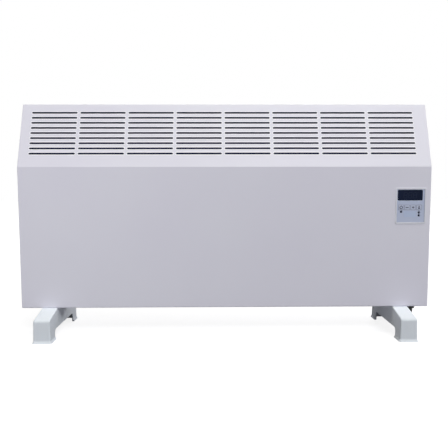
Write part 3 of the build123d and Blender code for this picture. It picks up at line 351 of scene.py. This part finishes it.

# inks of the control unit, and the paint on the rolled edges of the slots, paler than the casing as a
# painted highlight
printed = dict(grainSize=0.0002, relief=0.000002, smooth=0.4, rough=0.5)
prints = {
    "legendInk": dict(printed, tint=paint(26, 24, 56), drift=paint(32, 30, 62), driftSize=0.003,
                      Specular_IOR_Level=0.2),
    "bandInk": dict(printed, tint=paint(184, 190, 211), drift=paint(179, 185, 207), driftSize=0.02),
    # ink of the key outlines, also used for the painted shade along the overlay's sides
    "outlineInkAndShade": dict(printed, tint=paint(130, 136, 162), drift=paint(124, 130, 156), driftSize=0.02),
    "fieldInk": dict(printed, tint=paint(190, 202, 229), drift=paint(186, 198, 227), driftSize=0.02),
    "segmentInk": dict(printed, tint=paint(21, 32, 56), drift=paint(19, 29, 52), driftSize=0.01,
                       Specular_IOR_Level=0.15),
    # painted highlight: the slots' rolled edges are paler than the casing; their inward faces take the dark
    # painted shade
    "slotEdgeHighlight": dict(dict(coat, relief=0.000005), **slotShade, tint=paint(248, 247, 255),
                          drift=paint(246, 245, 255)),
}
prints = {name: skinMaterial(name, **values) for name, values in prints.items()}

casingLow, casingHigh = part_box("front_casing")
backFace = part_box("back_panel")[1].y
overlayLow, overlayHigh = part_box("control_overlay")
overlayFront = overlayLow.y


# outlines seen from the front, as rows of (x, z), and flat solids made from them
def bar(x, z, width, height):
    # rectangle round a middle point
    return np.array([[-1, -1], [1, -1], [1, 1], [-1, 1]]) * [width / 2, height / 2] + [x, z]


def roundBar(x, z, width, height, radius, steps=6):
    # rectangle whose corners are quarter circles: the corner's middle plus the radius at even angles
    angle = np.radians(np.linspace(0, 90, steps)) + np.radians([-180, -90, 0, 90])[:, None]
    middle = bar(0, 0, width - 2 * radius, height - 2 * radius)[:, None]
    return (middle + radius * np.stack([np.cos(angle), np.sin(angle)], -1)).reshape(-1, 2) + [x, z]


def arcBar(x, z, radius, width, first, last, steps=40):
    # band along an arc: the outer circle one way and the inner one back
    angle = np.radians(np.linspace(first, last, steps))
    arc = np.stack([np.cos(angle), np.sin(angle)], -1)
    return np.concatenate([arc * (radius + width / 2), arc[::-1] * (radius - width / 2)]) + [x, z]


def circle(x, z, radius, steps=32):
    # corners at even angles
    angle = np.linspace(0, 2 * np.pi, steps, endpoint=False)
    return np.stack([np.cos(angle), np.sin(angle)], -1) * radius + [x, z]


def crossBar(x, z, size, width):
    # plus sign as one twelve-cornered outline
    a, b = size / 2, width / 2
    return np.array([[-b, -a], [b, -a], [b, -b], [a, -b], [a, b], [b, b],
                     [b, a], [-b, a], [-b, b], [-a, b], [-a, -b], [-b, -b]]) + [x, z]


def plates(outlines, front, thickness):
    # flat plates: each outline, counter-clockwise from the front, is carried back by the thickness
    points, faces, start = [], [], 0
    for outline in outlines:
        count = len(outline)
        ring = np.arange(count)
        near = np.stack([outline[:, 0], np.full(count, front), outline[:, 1]], -1)
        points += [near, near + [0, thickness, 0]]
        faces.append((start + ring).tolist())
        faces.append((start + count + ring[::-1]).tolist())
        sides = np.stack([ring, ring + count, (ring + 1) % count + count, (ring + 1) % count], -1) + start
        faces += sides.tolist()
        start += 2 * count
    return np.concatenate(points), faces


def frames(loops, front, thickness):
    # flat frames: outer and inner loop of the same count, near and far, closed along and around
    points, faces, start = [], [], 0
    for outer, inner in loops:
        count = len(outer)
        corners = np.stack([outer, inner, inner, outer], 1)
        depth = np.broadcast_to(front + np.array([0, 0, thickness, thickness]), (count, 4))
        points.append(np.stack([corners[..., 0], depth, corners[..., 1]], -1).reshape(-1, 3))
        faces.append(gridQuads(count, 4, True, True) + start)
        start += 4 * count
    return np.concatenate(points), np.concatenate(faces)


# signs on the keys: the power ring is open at the top, and the last sign is a thermometer
legend = dict(ink=0.00005, sunk=0.00002, stroke=0.0013, ring=0.0029, ringArc=(-236, 56), markUp=0.0024,
              mark=0.0030, minus=0.0064, plus=0.0050, bulb=0.0013, bulbDown=0.0017, bulbArc=(110, 430),
              stem=0.0042, stemUp=0.0014, stemShare=1.5)
keyBoxes = {name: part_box("key_" + name) for name in ("power", "minus", "plus", "mode")}
stroke = legend["stroke"]
for name, box in keyBoxes.items():
    x, z = middleOf(*box)
    shapes = {
        "power": [arcBar(x, z, legend["ring"], stroke, *legend["ringArc"]),
                  bar(x, z + legend["markUp"], stroke, legend["mark"])],
        "minus": [bar(x, z, legend["minus"], stroke)],
        "plus": [crossBar(x, z, legend["plus"], stroke)],
        "mode": [arcBar(x, z - legend["bulbDown"], legend["bulb"], stroke, *legend["bulbArc"]),
                 bar(x, z + legend["stemUp"], legend["stemShare"] * stroke, legend["stem"])],
    }[name]
    addPiece("keyLegend_" + name, *plates(shapes, box[0].y - legend["ink"], legend["ink"] + legend["sunk"]),
             prints["legendInk"], "key_plastic", "key_" + name, smooth=False)

# prints on the overlay: key band and outlines, label field, lamp rings and links; dark side lines that are
# painted shade along the overlay's edges, and a pale hem that is a painted highlight along its lower edge
overlayPrint = dict(ink=0.00004, line=0.0004, margin=0.0009, drop=0.0016, field=(0.0275, 0.0135),
                    fieldShift=-0.0014, link=0.0007, rightShadeLine=0.0007, leftShadeLine=0.0003, litHem=0.0008,
                    round=0.0012)
keyFace = dict(size=(0.0106, 0.0100), gap=0.0003, corner=0.0023)  # what shows of a key, and its hole
lampMarks = dict(hole=0.0016, ring=0.0026, drops=((0.0095, 0.0491), (0.0486, 0.0508), (0.0486, 0.0572)))
ink, line, margin = overlayPrint["ink"], overlayPrint["line"], overlayPrint["margin"]


def addPrint(name, solid, inkName):
    # points and faces of a flat print, in one of the inks
    addPiece(name, *solid, prints[inkName], "overlay_film", smooth=False)


keyXs = [middleOf(*box)[0] for box in keyBoxes.values()]
keyZ = middleOf(*keyBoxes["power"])[1]
keyPitch = keyXs[1] - keyXs[0]
hole = np.array(keyFace["size"]) + 2 * keyFace["gap"]
overlayX, overlayZ = middleOf(overlayLow, overlayHigh)
bandTop, bandLow = keyZ + hole[1] / 2 + margin, keyZ - hole[1] / 2 - margin
bandWidth = keyXs[-1] - keyXs[0] + hole[0] + 2 * margin
bandX = (keyXs[0] + keyXs[-1]) / 2
bandShapes = [bar(bandX, z, bandWidth, margin) for z in (bandTop - margin / 2, bandLow + margin / 2)]
bandShapes += [bar(x + keyPitch / 2, keyZ, keyPitch - hole[0], hole[1]) for x in keyXs[:-1]]
bandShapes += [bar(bandX + side * (bandWidth - margin) / 2, keyZ, margin, hole[1]) for side in (-1, 1)]
addPrint("keyBand", plates(bandShapes, overlayFront - ink, ink), "bandInk")
holeCorner = keyFace["corner"]
keyFrames = [(roundBar(x, keyZ, *(hole + 2 * line), holeCorner + line), roundBar(x, keyZ, *hole, holeCorner))
             for x in keyXs]
addPrint("keyOutlines", frames(keyFrames, overlayFront - 1.5 * ink, 1.5 * ink), "outlineInkAndShade")

field, corner = np.array(overlayPrint["field"]), overlayPrint["round"]
fieldX, fieldZ = overlayX + overlayPrint["fieldShift"], bandLow - overlayPrint["drop"] - field[1] / 2
fieldShape = roundBar(fieldX, fieldZ, *field, corner)
fieldEdge = roundBar(fieldX, fieldZ, *(field + line), corner + line / 2)
addPrint("fieldOutline", frames([(fieldEdge, fieldShape)], overlayFront - ink, ink), "bandInk")
addPrint("labelField", plates([fieldShape], overlayFront - ink, ink), "fieldInk")

lampPlaces = [(overlayLow.x + x, overlayHigh.z - z) for x, z in lampMarks["drops"]]
lampRing = lampMarks["ring"]
ringLoops = [(circle(x, z, lampRing), circle(x, z, lampMarks["hole"])) for x, z in lampPlaces]
addPrint("lampRings", frames(ringLoops, overlayFront - ink, ink), "legendInk")
(firstX, firstZ), (upperX, upperZ), (_, lowerZ) = lampPlaces
links = [(firstX, bandLow, firstZ + lampRing), (upperX, bandLow, upperZ + lampRing),
         (upperX, upperZ - lampRing, lowerZ + lampRing)]
linkShapes = [bar(x, (high + low) / 2, overlayPrint["link"], high - low) for x, high, low in links]
addPrint("lampLinks", plates(linkShapes, overlayFront - ink, ink), "legendInk")

overlayTall = overlayHigh.z - overlayLow.z
# painted shade: dark lines along the overlay's right and left edges, where shade falls at its border
right, left, litHem = overlayPrint["rightShadeLine"], overlayPrint["leftShadeLine"], overlayPrint["litHem"]
sideShadeLines = [bar(overlayHigh.x - right / 2, overlayZ, right, overlayTall),
             bar(overlayLow.x + left / 2, overlayZ, left, overlayTall)]
addPrint("overlaySideShade", plates(sideShadeLines, overlayFront - 0.5 * ink, 0.5 * ink), "outlineInkAndShade")
# painted highlight: a pale strip in the bezel's colour along the overlay's lower edge, where the edge of the
# opening faces up into the light
litHemShape = bar(overlayX, overlayLow.z + litHem / 2, overlayHigh.x - overlayLow.x, litHem)
addPiece("overlayLitHem", *plates([litHemShape], overlayFront - ink, ink), finishes["bezel_plastic"],
         "bezel_plastic", smooth=False)

# dark border of the window, and the display's unlit segments
windowPrint = dict(face=(0.0544, 0.0221), corner=0.0028, gap=0.00015, border=(0.0002, 0.0005))
windowLow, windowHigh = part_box("display_window")
windowX, windowZ = middleOf(windowLow, windowHigh)
face = np.array(windowPrint["face"]) + 2 * windowPrint["gap"]
border = face + 2 * np.array(windowPrint["border"])
windowLoops = [roundBar(windowX, windowZ, *size, windowPrint["corner"]) for size in (border, face)]
addPiece("windowBorder", *frames([windowLoops], overlayFront - ink, ink), finishes["smoked_window"],
         "overlay_film", smooth=False)

segments = dict(height=0.0125, width=0.0068, stroke=0.0012, pitch=0.0105, digits=3, gap=0.0002, lean=0.08,
                film=0.00001, dot=0.0012, dotCorner=0.0005, dotSide=0.0018, degree=0.0009,
                degreeStroke=0.0005, degreeSide=0.0026, degreeDown=0.0004)


def digitShapes(x, z):
    # seven segments of one digit, as hexagons that meet at their points, leaning a little to the right
    wide, tall, half = segments["width"] / 2, segments["height"] / 2, segments["stroke"] / 2
    reach = np.array([wide, tall / 2]) - segments["gap"]
    corners = np.array([[-1, 0], [-1, -1], [1, -1], [1, 0], [1, 1], [-1, 1]], float)
    inset = np.array([[0, 0], [1, 0], [-1, 0], [0, 0], [-1, 0], [1, 0]]) * half
    across = corners * [reach[0], half] + inset
    upright = (corners * [reach[1], half] + inset)[:, ::-1] * [-1, 1]
    shapes = [across + [0, rise] for rise in (tall, 0, -tall)]
    shapes += [upright + [side, rise] for side in (-wide, wide) for rise in (tall / 2, -tall / 2)]
    return [shape + shape[:, 1:] * [segments["lean"], 0] + [x, z] for shape in shapes]


digitXs = windowX + (np.arange(segments["digits"]) - (segments["digits"] - 1) / 2) * segments["pitch"]
digits = [shape for x in digitXs for shape in digitShapes(x, windowZ)]
digitRight, digitTop = segments["width"] / 2, segments["height"] / 2
digits.append(roundBar(digitXs[1] + digitRight + segments["dotSide"], windowZ - digitTop,
                       segments["dot"], segments["dot"], segments["dotCorner"]))
digits.append(arcBar(digitXs[2] + digitRight + segments["degreeSide"],
                     windowZ + digitTop - segments["degreeDown"],
                     segments["degree"], segments["degreeStroke"], 0, 359))
film = segments["film"]
addPiece("displaySegments", *plates(digits, windowLow.y - film, film), prints["segmentInk"],
         "smoked_window", smooth=False)
print("overlay and display prints made")


# turned pieces
def turned(profile, columns, centre, axis):
    # radii and heights carried round an axis through the centre; returns points (row, column, 3)
    angle = np.linspace(0, 2 * np.pi, columns, endpoint=False)
    radius, height = np.asarray(profile, float).T[:, :, None]
    side, rise = radius * np.cos(angle), radius * np.sin(angle)
    along = np.broadcast_to(height, side.shape)
    points = {"z": (side, rise, along), "y": (side, along, rise)}[axis]
    return np.stack(points, -1) + np.asarray(centre)


# screws of the back panel: pan heads with a cross recess, each stopped at its own angle;
# the values of headShape and recess are shares of the head's radius or rise
panel = dict(columns=(-0.360, 0, 0.360), edge=0.0065, radius=0.0034, rise=0.0020, shank=0.0015, depth=0.006,
             turn=37.0)
headShape = dict(crown=0.12, shoulder=0.72, fall=0.75, power=2.4, flat=(0, 0.62, 13), rim=(0.7, 1, 7))
recess = dict(arm=0.13, reach=0.58, bevel=0.10, depth=0.62, taper=0.75)


def panPoints(radius, rise, shank, columns=48):
    # rings of a domed top, at shares of the radius, lowered where an arm of the cross lies; then the shank
    share = np.concatenate([np.linspace(*headShape["flat"]), np.linspace(*headShape["rim"])])
    start, power = headShape["shoulder"], headShape["power"]
    slump = np.clip((share - start) / (1 - start), 0, 1) ** power
    dome = rise * (1 - headShape["crown"] * share**2 - headShape["fall"] * slump)
    angle = np.linspace(0, 2 * np.pi, columns, endpoint=False)
    x, z = radius * share[:, None] * np.cos(angle), radius * share[:, None] * np.sin(angle)
    arm, reach = recess["arm"] * radius, recess["reach"] * radius
    near = np.minimum(np.abs(x), np.abs(z)) - arm
    far = np.maximum(np.abs(x), np.abs(z)) - reach
    inside = np.clip(-np.maximum(near, far) / (recess["bevel"] * radius), 0, 1)
    slope = 1 - recess["taper"] * np.clip(np.hypot(x, z) / reach, 0, 1)
    top = np.stack([x, dome[:, None] - recess["depth"] * rise * inside * slope, z], -1)
    shankProfile = [(radius, 0), (shank, 0), (shank, -panel["depth"]), (0, -panel["depth"])]
    return np.concatenate([top, turned(shankProfile, columns, (0, 0, 0), "y")])


panelXs = (casingLow.x + panel["edge"], casingHigh.x - panel["edge"])
panelZs = (casingLow.z + panel["edge"], casingHigh.z - panel["edge"])
panelPlaces = [(x, z) for x in panel["columns"] for z in panelZs]
panelPlaces += [(x, middleOf(casingLow, casingHigh)[1]) for x in panelXs]
head = panPoints(panel["radius"], panel["rise"], panel["shank"])
spin = np.radians(panel["turn"] * np.arange(len(panelPlaces)))[:, None, None]
headX = head[..., 0] * np.cos(spin) - head[..., 2] * np.sin(spin)
headZ = head[..., 0] * np.sin(spin) + head[..., 2] * np.cos(spin)
headY = np.broadcast_to(head[..., 1] + backFace, headX.shape)
middle = np.array(panelPlaces)[:, None, None, :]
heads = np.stack([headX + middle[..., 0], headY, headZ + middle[..., 1]], -1)
headFaces = copiedQuads(gridQuads(*head.shape[:2], False, True), len(heads), head.shape[0] * head.shape[1])
screws = addPiece("panelScrews", heads, headFaces, finishes["zinc_fastener"], "zinc_fastener", crease=40)
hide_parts("back_panel_screws")

# nut of the gland: a ribbed grip, then a neck with a rounded mouth
nutLow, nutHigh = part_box("gland_nut")
gland = dict(x=(nutLow.x + nutHigh.x) / 2, radius=(nutHigh.x - nutLow.x) / 2, bore=0.0040, grip=0.0025,
             edge=0.0004, chamfer=0.0006, neck=0.0078, neckDown=0.0014, bell=0.0010, ribs=18,
             ribDepth=0.0005, mouth=((0.0064, 0.0004), (0.0055, 0), (0.0048, 0), (0.0042, 0.0004)))
wide, bore, nutEdge, chamfer = gland["radius"], gland["bore"], gland["edge"], gland["chamfer"]
grip = nutHigh.z - gland["grip"]
glandProfile = np.array([
    (bore, nutHigh.z), (wide - nutEdge, nutHigh.z), (wide, nutHigh.z - nutEdge),
    (wide, grip + chamfer), (wide, grip), (wide - chamfer, grip - chamfer),
    (gland["neck"], grip - gland["neckDown"]),
    *((radius, nutLow.z + rise) for radius, rise in gland["mouth"]), (bore, nutLow.z + gland["bell"])])
nutAngle = np.linspace(0, 2 * np.pi, 144, endpoint=False)
nutPoints = turned(glandProfile, len(nutAngle), (0, 0, 0), "z")
onGrip = (glandProfile[:, 0] == wide)[:, None]
# the grip draws in between its ribs: the third power of a raised cosine keeps the ribs wide
shrink = 1 - onGrip * (0.5 + 0.5 * np.cos(gland["ribs"] * nutAngle)) ** 3 * gland["ribDepth"] / wide
nutPoints[..., :2] *= shrink[..., None]
nutPoints[..., 0] += gland["x"]
glandNut = addPiece("glandNut", nutPoints, gridQuads(len(glandProfile), len(nutAngle), True, True),
                    finishes["black_plastic"], "black_plastic", crease=50)
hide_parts("gland_nut")

# cap and sleeve under the gland's nut, round the place of the lead
sleeve = dict(cap=0.0093, gap=0.0001, shoulder=0.0012, belly=0.0022, capDrop=0.0079, sleeveTop=0.0054,
              sleeveTip=0.0047, drop=0.0185, bore=0.0040, edge=0.0006, ribs=4, ribDepth=0.0005,
              tip=(0.0002, 0.0003), columns=48)
capTop = nutLow.z - sleeve["gap"]
capLow, tipLow = nutLow.z - sleeve["capDrop"], nutLow.z - sleeve["drop"]
cap, shoulder, belly, bore = sleeve["cap"], sleeve["shoulder"], sleeve["belly"], sleeve["bore"]
ribStep = np.linspace(0, 1, 8 * sleeve["ribs"] + 1)  # along the sleeve, from the cap to the tip
ribRadius = sleeve["sleeveTop"] + (sleeve["sleeveTip"] - sleeve["sleeveTop"]) * ribStep
ribRadius -= sleeve["ribDepth"] * (0.5 - 0.5 * np.cos(2 * np.pi * sleeve["ribs"] * ribStep)) ** 2
sleeveProfile = np.concatenate([
    [(bore, capTop), (cap - shoulder, capTop), (cap, capTop - shoulder), (cap, capLow + belly),
     (cap - sleeve["edge"], capLow + sleeve["edge"]), (cap - belly, capLow)],
    np.stack([ribRadius, capLow + (tipLow - capLow) * ribStep], -1),
    [(bore + sleeve["tip"][0], tipLow - sleeve["tip"][1]), (bore, tipLow)]])
addPiece("glandSleeve", turned(sleeveProfile, sleeve["columns"], (gland["x"], 0, 0), "z"),
         gridQuads(len(sleeveProfile), sleeve["columns"], True, True), finishes["black_rubber"],
         "black_rubber", crease=50)

# lamps: small domes that stand just behind the overlay's face
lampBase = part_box("indicator_lights")[1].y
lens = dict(radius=0.0014, sunk=0.00008, dome=0.0007, base=0.0008, flare=0.00001, columns=28)
lensTip = overlayFront + lens["sunk"]
domeAngle = np.radians(np.linspace(90, 0, 9))
lensProfile = np.concatenate([
    np.stack([lens["radius"] * np.cos(domeAngle), lensTip + lens["dome"] * (1 - np.sin(domeAngle))], -1),
    [(lens["radius"], lampBase - lens["base"]), (lens["radius"] + lens["flare"], lampBase), (0, lampBase)]])
lensCount = lens["columns"]
lensPoints = np.stack([turned(lensProfile, lensCount, (x, 0, z), "y") for x, z in lampPlaces])
lensFaces = copiedQuads(gridQuads(len(lensProfile), lensCount, False, True), len(lensPoints),
                        len(lensProfile) * lensCount)
lenses = addPiece("indicatorLenses", lensPoints, lensFaces, finishes["indicator_lens"], "indicator_lens")
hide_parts("indicator_lights")
print("screws, gland and lenses made")


# rolled edges of the slots; skirt and crown hold a share of the spread and a rise,
# brow, nose and inner a distance out from the slot's edge and a rise
lip = dict(spread=0.0005, sunk=0.0001, skirt=(0.92, 0.00003), crown=(0.5, 0.00008),
           brow=(0.00010, 0.00006), nose=(-0.00002, -0.00004), inner=(-0.00006, -0.00030),
           innerFoot=0.0007, foot=0.00095, steps=9)


def slotLips(centres, length, width, across, up, out, spread=lip["spread"]):
    # loop: two half circles and the straights between them; section: a small closed bead over the sheet's
    # edge, set off from the loop along its own outward direction and along the sheet's normal
    steps = lip["steps"]
    angle = np.radians(np.concatenate([np.linspace(-90, 90, steps), np.linspace(90, 270, steps)]))
    outward = np.stack([np.cos(angle), np.sin(angle)], -1)
    ends = np.repeat([length / 2 - width / 2, width / 2 - length / 2], steps)
    loop = outward * width / 2 + np.stack([ends, np.zeros(2 * steps)], -1)
    (skirt, skirtRise), (crown, crownRise) = lip["skirt"], lip["crown"]
    section = np.array([(spread, -lip["sunk"]), (skirt * spread, skirtRise), (crown * spread, crownRise),
                        lip["brow"], lip["nose"], lip["inner"], (lip["inner"][0], -lip["innerFoot"]),
                        (lip["brow"][0], -lip["foot"])])
    flat = loop[:, None] + outward[:, None] * section[None, :, :1]
    across, up, out = (np.array(axis, float) for axis in (across, up, out))
    ring = flat[..., :1] * across + flat[..., 1:] * up + section[None, :, 1:] * out
    points = np.asarray(centres)[:, None, None, :] + ring
    faces = gridQuads(*ring.shape[:2], True, True)
    return points, copiedQuads(faces, len(points), ring.shape[0] * ring.shape[1])


grille = dict(rows=9, columns=8, left=0.0225, right=0.0316, gap=0.0066, low=0.0308, high=0.0207,
              width=0.004, run=0.049, rise=0.140, spread=0.0024)
casingWidth = casingHigh.x - casingLow.x
slopeLength = math.hypot(grille["run"], grille["rise"])
slopeUp = np.array([0, grille["run"], grille["rise"]]) / slopeLength
slopeOut = np.array([0, -slopeUp[2], slopeUp[1]])
fold = np.array([0, casingLow.y, casingHigh.z - grille["rise"]])
slotPitch = (casingWidth - grille["left"] - grille["right"] + grille["gap"]) / grille["columns"]
slotLength = slotPitch - grille["gap"]
slotXs = casingLow.x + grille["left"] + slotLength / 2 + np.arange(grille["columns"]) * slotPitch
slotRises = np.linspace(grille["low"], slopeLength - grille["high"], grille["rows"])
gridX, gridRise = (part.ravel()[:, None] for part in np.meshgrid(slotXs, slotRises))
slotCentres = fold + gridX * [1, 0, 0] + gridRise * slopeUp
# the front grille's lips spread a paler band round each slot: painted highlight
addPiece("grilleLips", *slotLips(slotCentres, slotLength, grille["width"], (1, 0, 0), slopeUp, slopeOut,
                                 grille["spread"]), prints["slotEdgeHighlight"], "casing_paint", crease=60)

inlets = dict(columns=12, rows=2, endGap=0.030, length=0.044, width=0.008, rowPitch=0.026, footFlare=0.004)
inletReach = inlets["footFlare"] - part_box("foot_left")[1].x - inlets["endGap"] - inlets["length"] / 2
inletXs = np.linspace(-inletReach, inletReach, inlets["columns"])
inletYs = (np.arange(inlets["rows"]) - (inlets["rows"] - 1) / 2) * inlets["rowPitch"]
gridX, gridY = (part.ravel() for part in np.meshgrid(inletXs, inletYs))
inletCentres = np.stack([gridX, gridY, np.full(len(gridX), casingLow.z)], -1)
addPiece("inletLips", *slotLips(inletCentres, inlets["length"], inlets["width"],
                                (1, 0, 0), (0, 1, 0), (0, 0, -1)),
         finishes["casing_paint"], "casing_paint", crease=60)

vents = dict(count=14, endGap=0.112, length=0.030, width=0.005, height=0.024)
ventXs = np.linspace(-1, 1, vents["count"]) * (casingWidth / 2 - vents["endGap"] - vents["length"] / 2)
ventCentres = ventXs[:, None] * [1, 0, 0] + np.array([0, backFace, casingLow.z + vents["height"]])
addPiece("ventLips", *slotLips(ventCentres, vents["length"], vents["width"],
                               (1, 0, 0), (0, 0, 1), (0, 1, 0)),
         finishes["casing_paint"], "casing_paint", crease=60)
print("slot lips made")

# camera, where the photographed corners of the casing put it
cameraValues = dict(place=(-0.01843, casingLow.y - 1.13739, 0.34669), turn=-0.7568, down=4.9805,
                    roll=-0.0848, focal=521.73, frame=448, sensor=36.0, near=0.01)
cameraData = bpy.data.cameras.new("photoCamera")
cameraData.sensor_width = cameraValues["sensor"]
cameraData.lens = cameraValues["focal"] / cameraValues["frame"] * cameraData.sensor_width
cameraData.clip_start = cameraValues["near"]
camera = bpy.data.objects.new("photoCamera", cameraData)
bpy.context.scene.collection.objects.link(camera)
camera.location = cameraValues["place"]
camera.rotation_mode = "XYZ"
turn = (Matrix.Rotation(math.radians(cameraValues["turn"]), 3, "Z")
        @ Matrix.Rotation(math.radians(90 - cameraValues["down"]), 3, "X")
        @ Matrix.Rotation(math.radians(cameraValues["roll"]), 3, "Z"))
camera.rotation_euler = turn.to_euler()
bpy.context.scene.camera = camera

# floor, white surroundings and soft lamps; the floor's glow rises with the distance and hides the horizon
studio = dict(floorReach=7.0, floorTint=(0.26, 0.26, 0.27, 1), floorRough=0.9, floorGloss=0.1,
              floorGlow=0.84, glowNear=0.75, glowFar=1.9, roomTint=(0.93, 0.94, 1.0, 1), roomLight=0.0)
studioLamps = {  # place, target, watts, width and height, colour
    "topLamp": ((-0.10, -0.45, 2.60), (0, 0, 0.30), 24.0, (2.4, 0.7), (1.0, 0.975, 0.84)),
    "frontLamp": ((1.30, -4.00, 3.90), (0, 0, 0.28), 154.0, (2.0, 1.4), (0.97, 0.985, 1.0)),
    "sideLamp": ((2.30, 0.0, 0.95), (-0.38, 0, 0.03), 12.0, (1.4, 0.6), (1.0, 1.0, 1.0)),
    "leftLamp": ((-0.65, -0.95, 0.42), (-0.40, 0, 0.20), 1.6, (0.5, 0.5), (1.0, 1.0, 1.0)),
    "backLamp": ((1.40, 3.40, 1.90), (0, 0, 0.25), 80.0, (1.8, 1.2), (1.0, 0.99, 0.98)),
}


def seenDirectly(tree):
    # 1 where the camera, a reflection or a clear piece sees it, 0 where it only lights something
    rays = addNode(tree, "ShaderNodeLightPath").outputs
    seen = compute(tree, "MAXIMUM", rays["Is Camera Ray"], rays["Is Glossy Ray"])
    return compute(tree, "MAXIMUM", seen, rays["Is Transmission Ray"])


floorMesh = bpy.data.meshes.new("floor")
floorCorners = [(x, y, 0) for x, y in bar(0, 0, 2 * studio["floorReach"], 2 * studio["floorReach"])]
floorMesh.from_pydata(floorCorners, [], [(0, 1, 2, 3)])
floor = bpy.data.objects.new("floor", floorMesh)
bpy.context.scene.collection.objects.link(floor)
floorPaint, tree, surface, place = newMaterial("floorPaint")
feed(tree, surface, {"Base Color": studio["floorTint"], "Roughness": studio["floorRough"],
                     "Specular IOR Level": studio["floorGloss"]})
away = addNode(tree, "ShaderNodeVectorMath", {0: place}, operation="LENGTH").outputs["Value"]
fade = stretch(tree, away, studio["glowNear"], studio["glowFar"], studio["floorGlow"])
share = compute(tree, "MULTIPLY", seenDirectly(tree), fade)
glow = addNode(tree, "ShaderNodeEmission", {"Color": (1, 1, 1, 1), "Strength": share})
matt = tree.nodes["Principled BSDF"].outputs[0]
mixed = addNode(tree, "ShaderNodeAddShader", {0: matt, 1: glow.outputs[0]})
tree.links.new(mixed.outputs[0], tree.nodes["Material Output"].inputs["Surface"])
floorMesh.materials.append(floorPaint)

world = bpy.data.worlds.new("whiteRoom")
bpy.context.scene.world = world
world.use_nodes = True
tree = world.node_tree
tree.nodes.clear()
roomLight = addNode(tree, "ShaderNodeBackground", {
    "Color": studio["roomTint"], "Strength": studio["roomLight"]})
whiteWall = addNode(tree, "ShaderNodeBackground", {"Color": (1, 1, 1, 1), "Strength": 1.0})
mixed = addNode(tree, "ShaderNodeMixShader", {
    0: seenDirectly(tree), 1: roomLight.outputs[0], 2: whiteWall.outputs[0]})
addNode(tree, "ShaderNodeOutputWorld", {"Surface": mixed.outputs[0]})

for name, (place, target, watts, size, color) in studioLamps.items():
    # rectangular soft lamp that faces its target
    data = bpy.data.lights.new(name, "AREA")
    data.shape = "RECTANGLE"
    data.size, data.size_y = size
    data.energy = watts
    data.color = color
    lamp = bpy.data.objects.new(name, data)
    bpy.context.scene.collection.objects.link(lamp)
    away = np.array(place) - np.array(target)
    lamp.location = place
    lamp.rotation_euler = (math.atan2(math.hypot(away[0], away[1]), away[2]), 0,
                           math.atan2(away[1], away[0]) + math.pi / 2)

bpy.context.scene.view_settings.view_transform = "Standard"

print("scene ready")
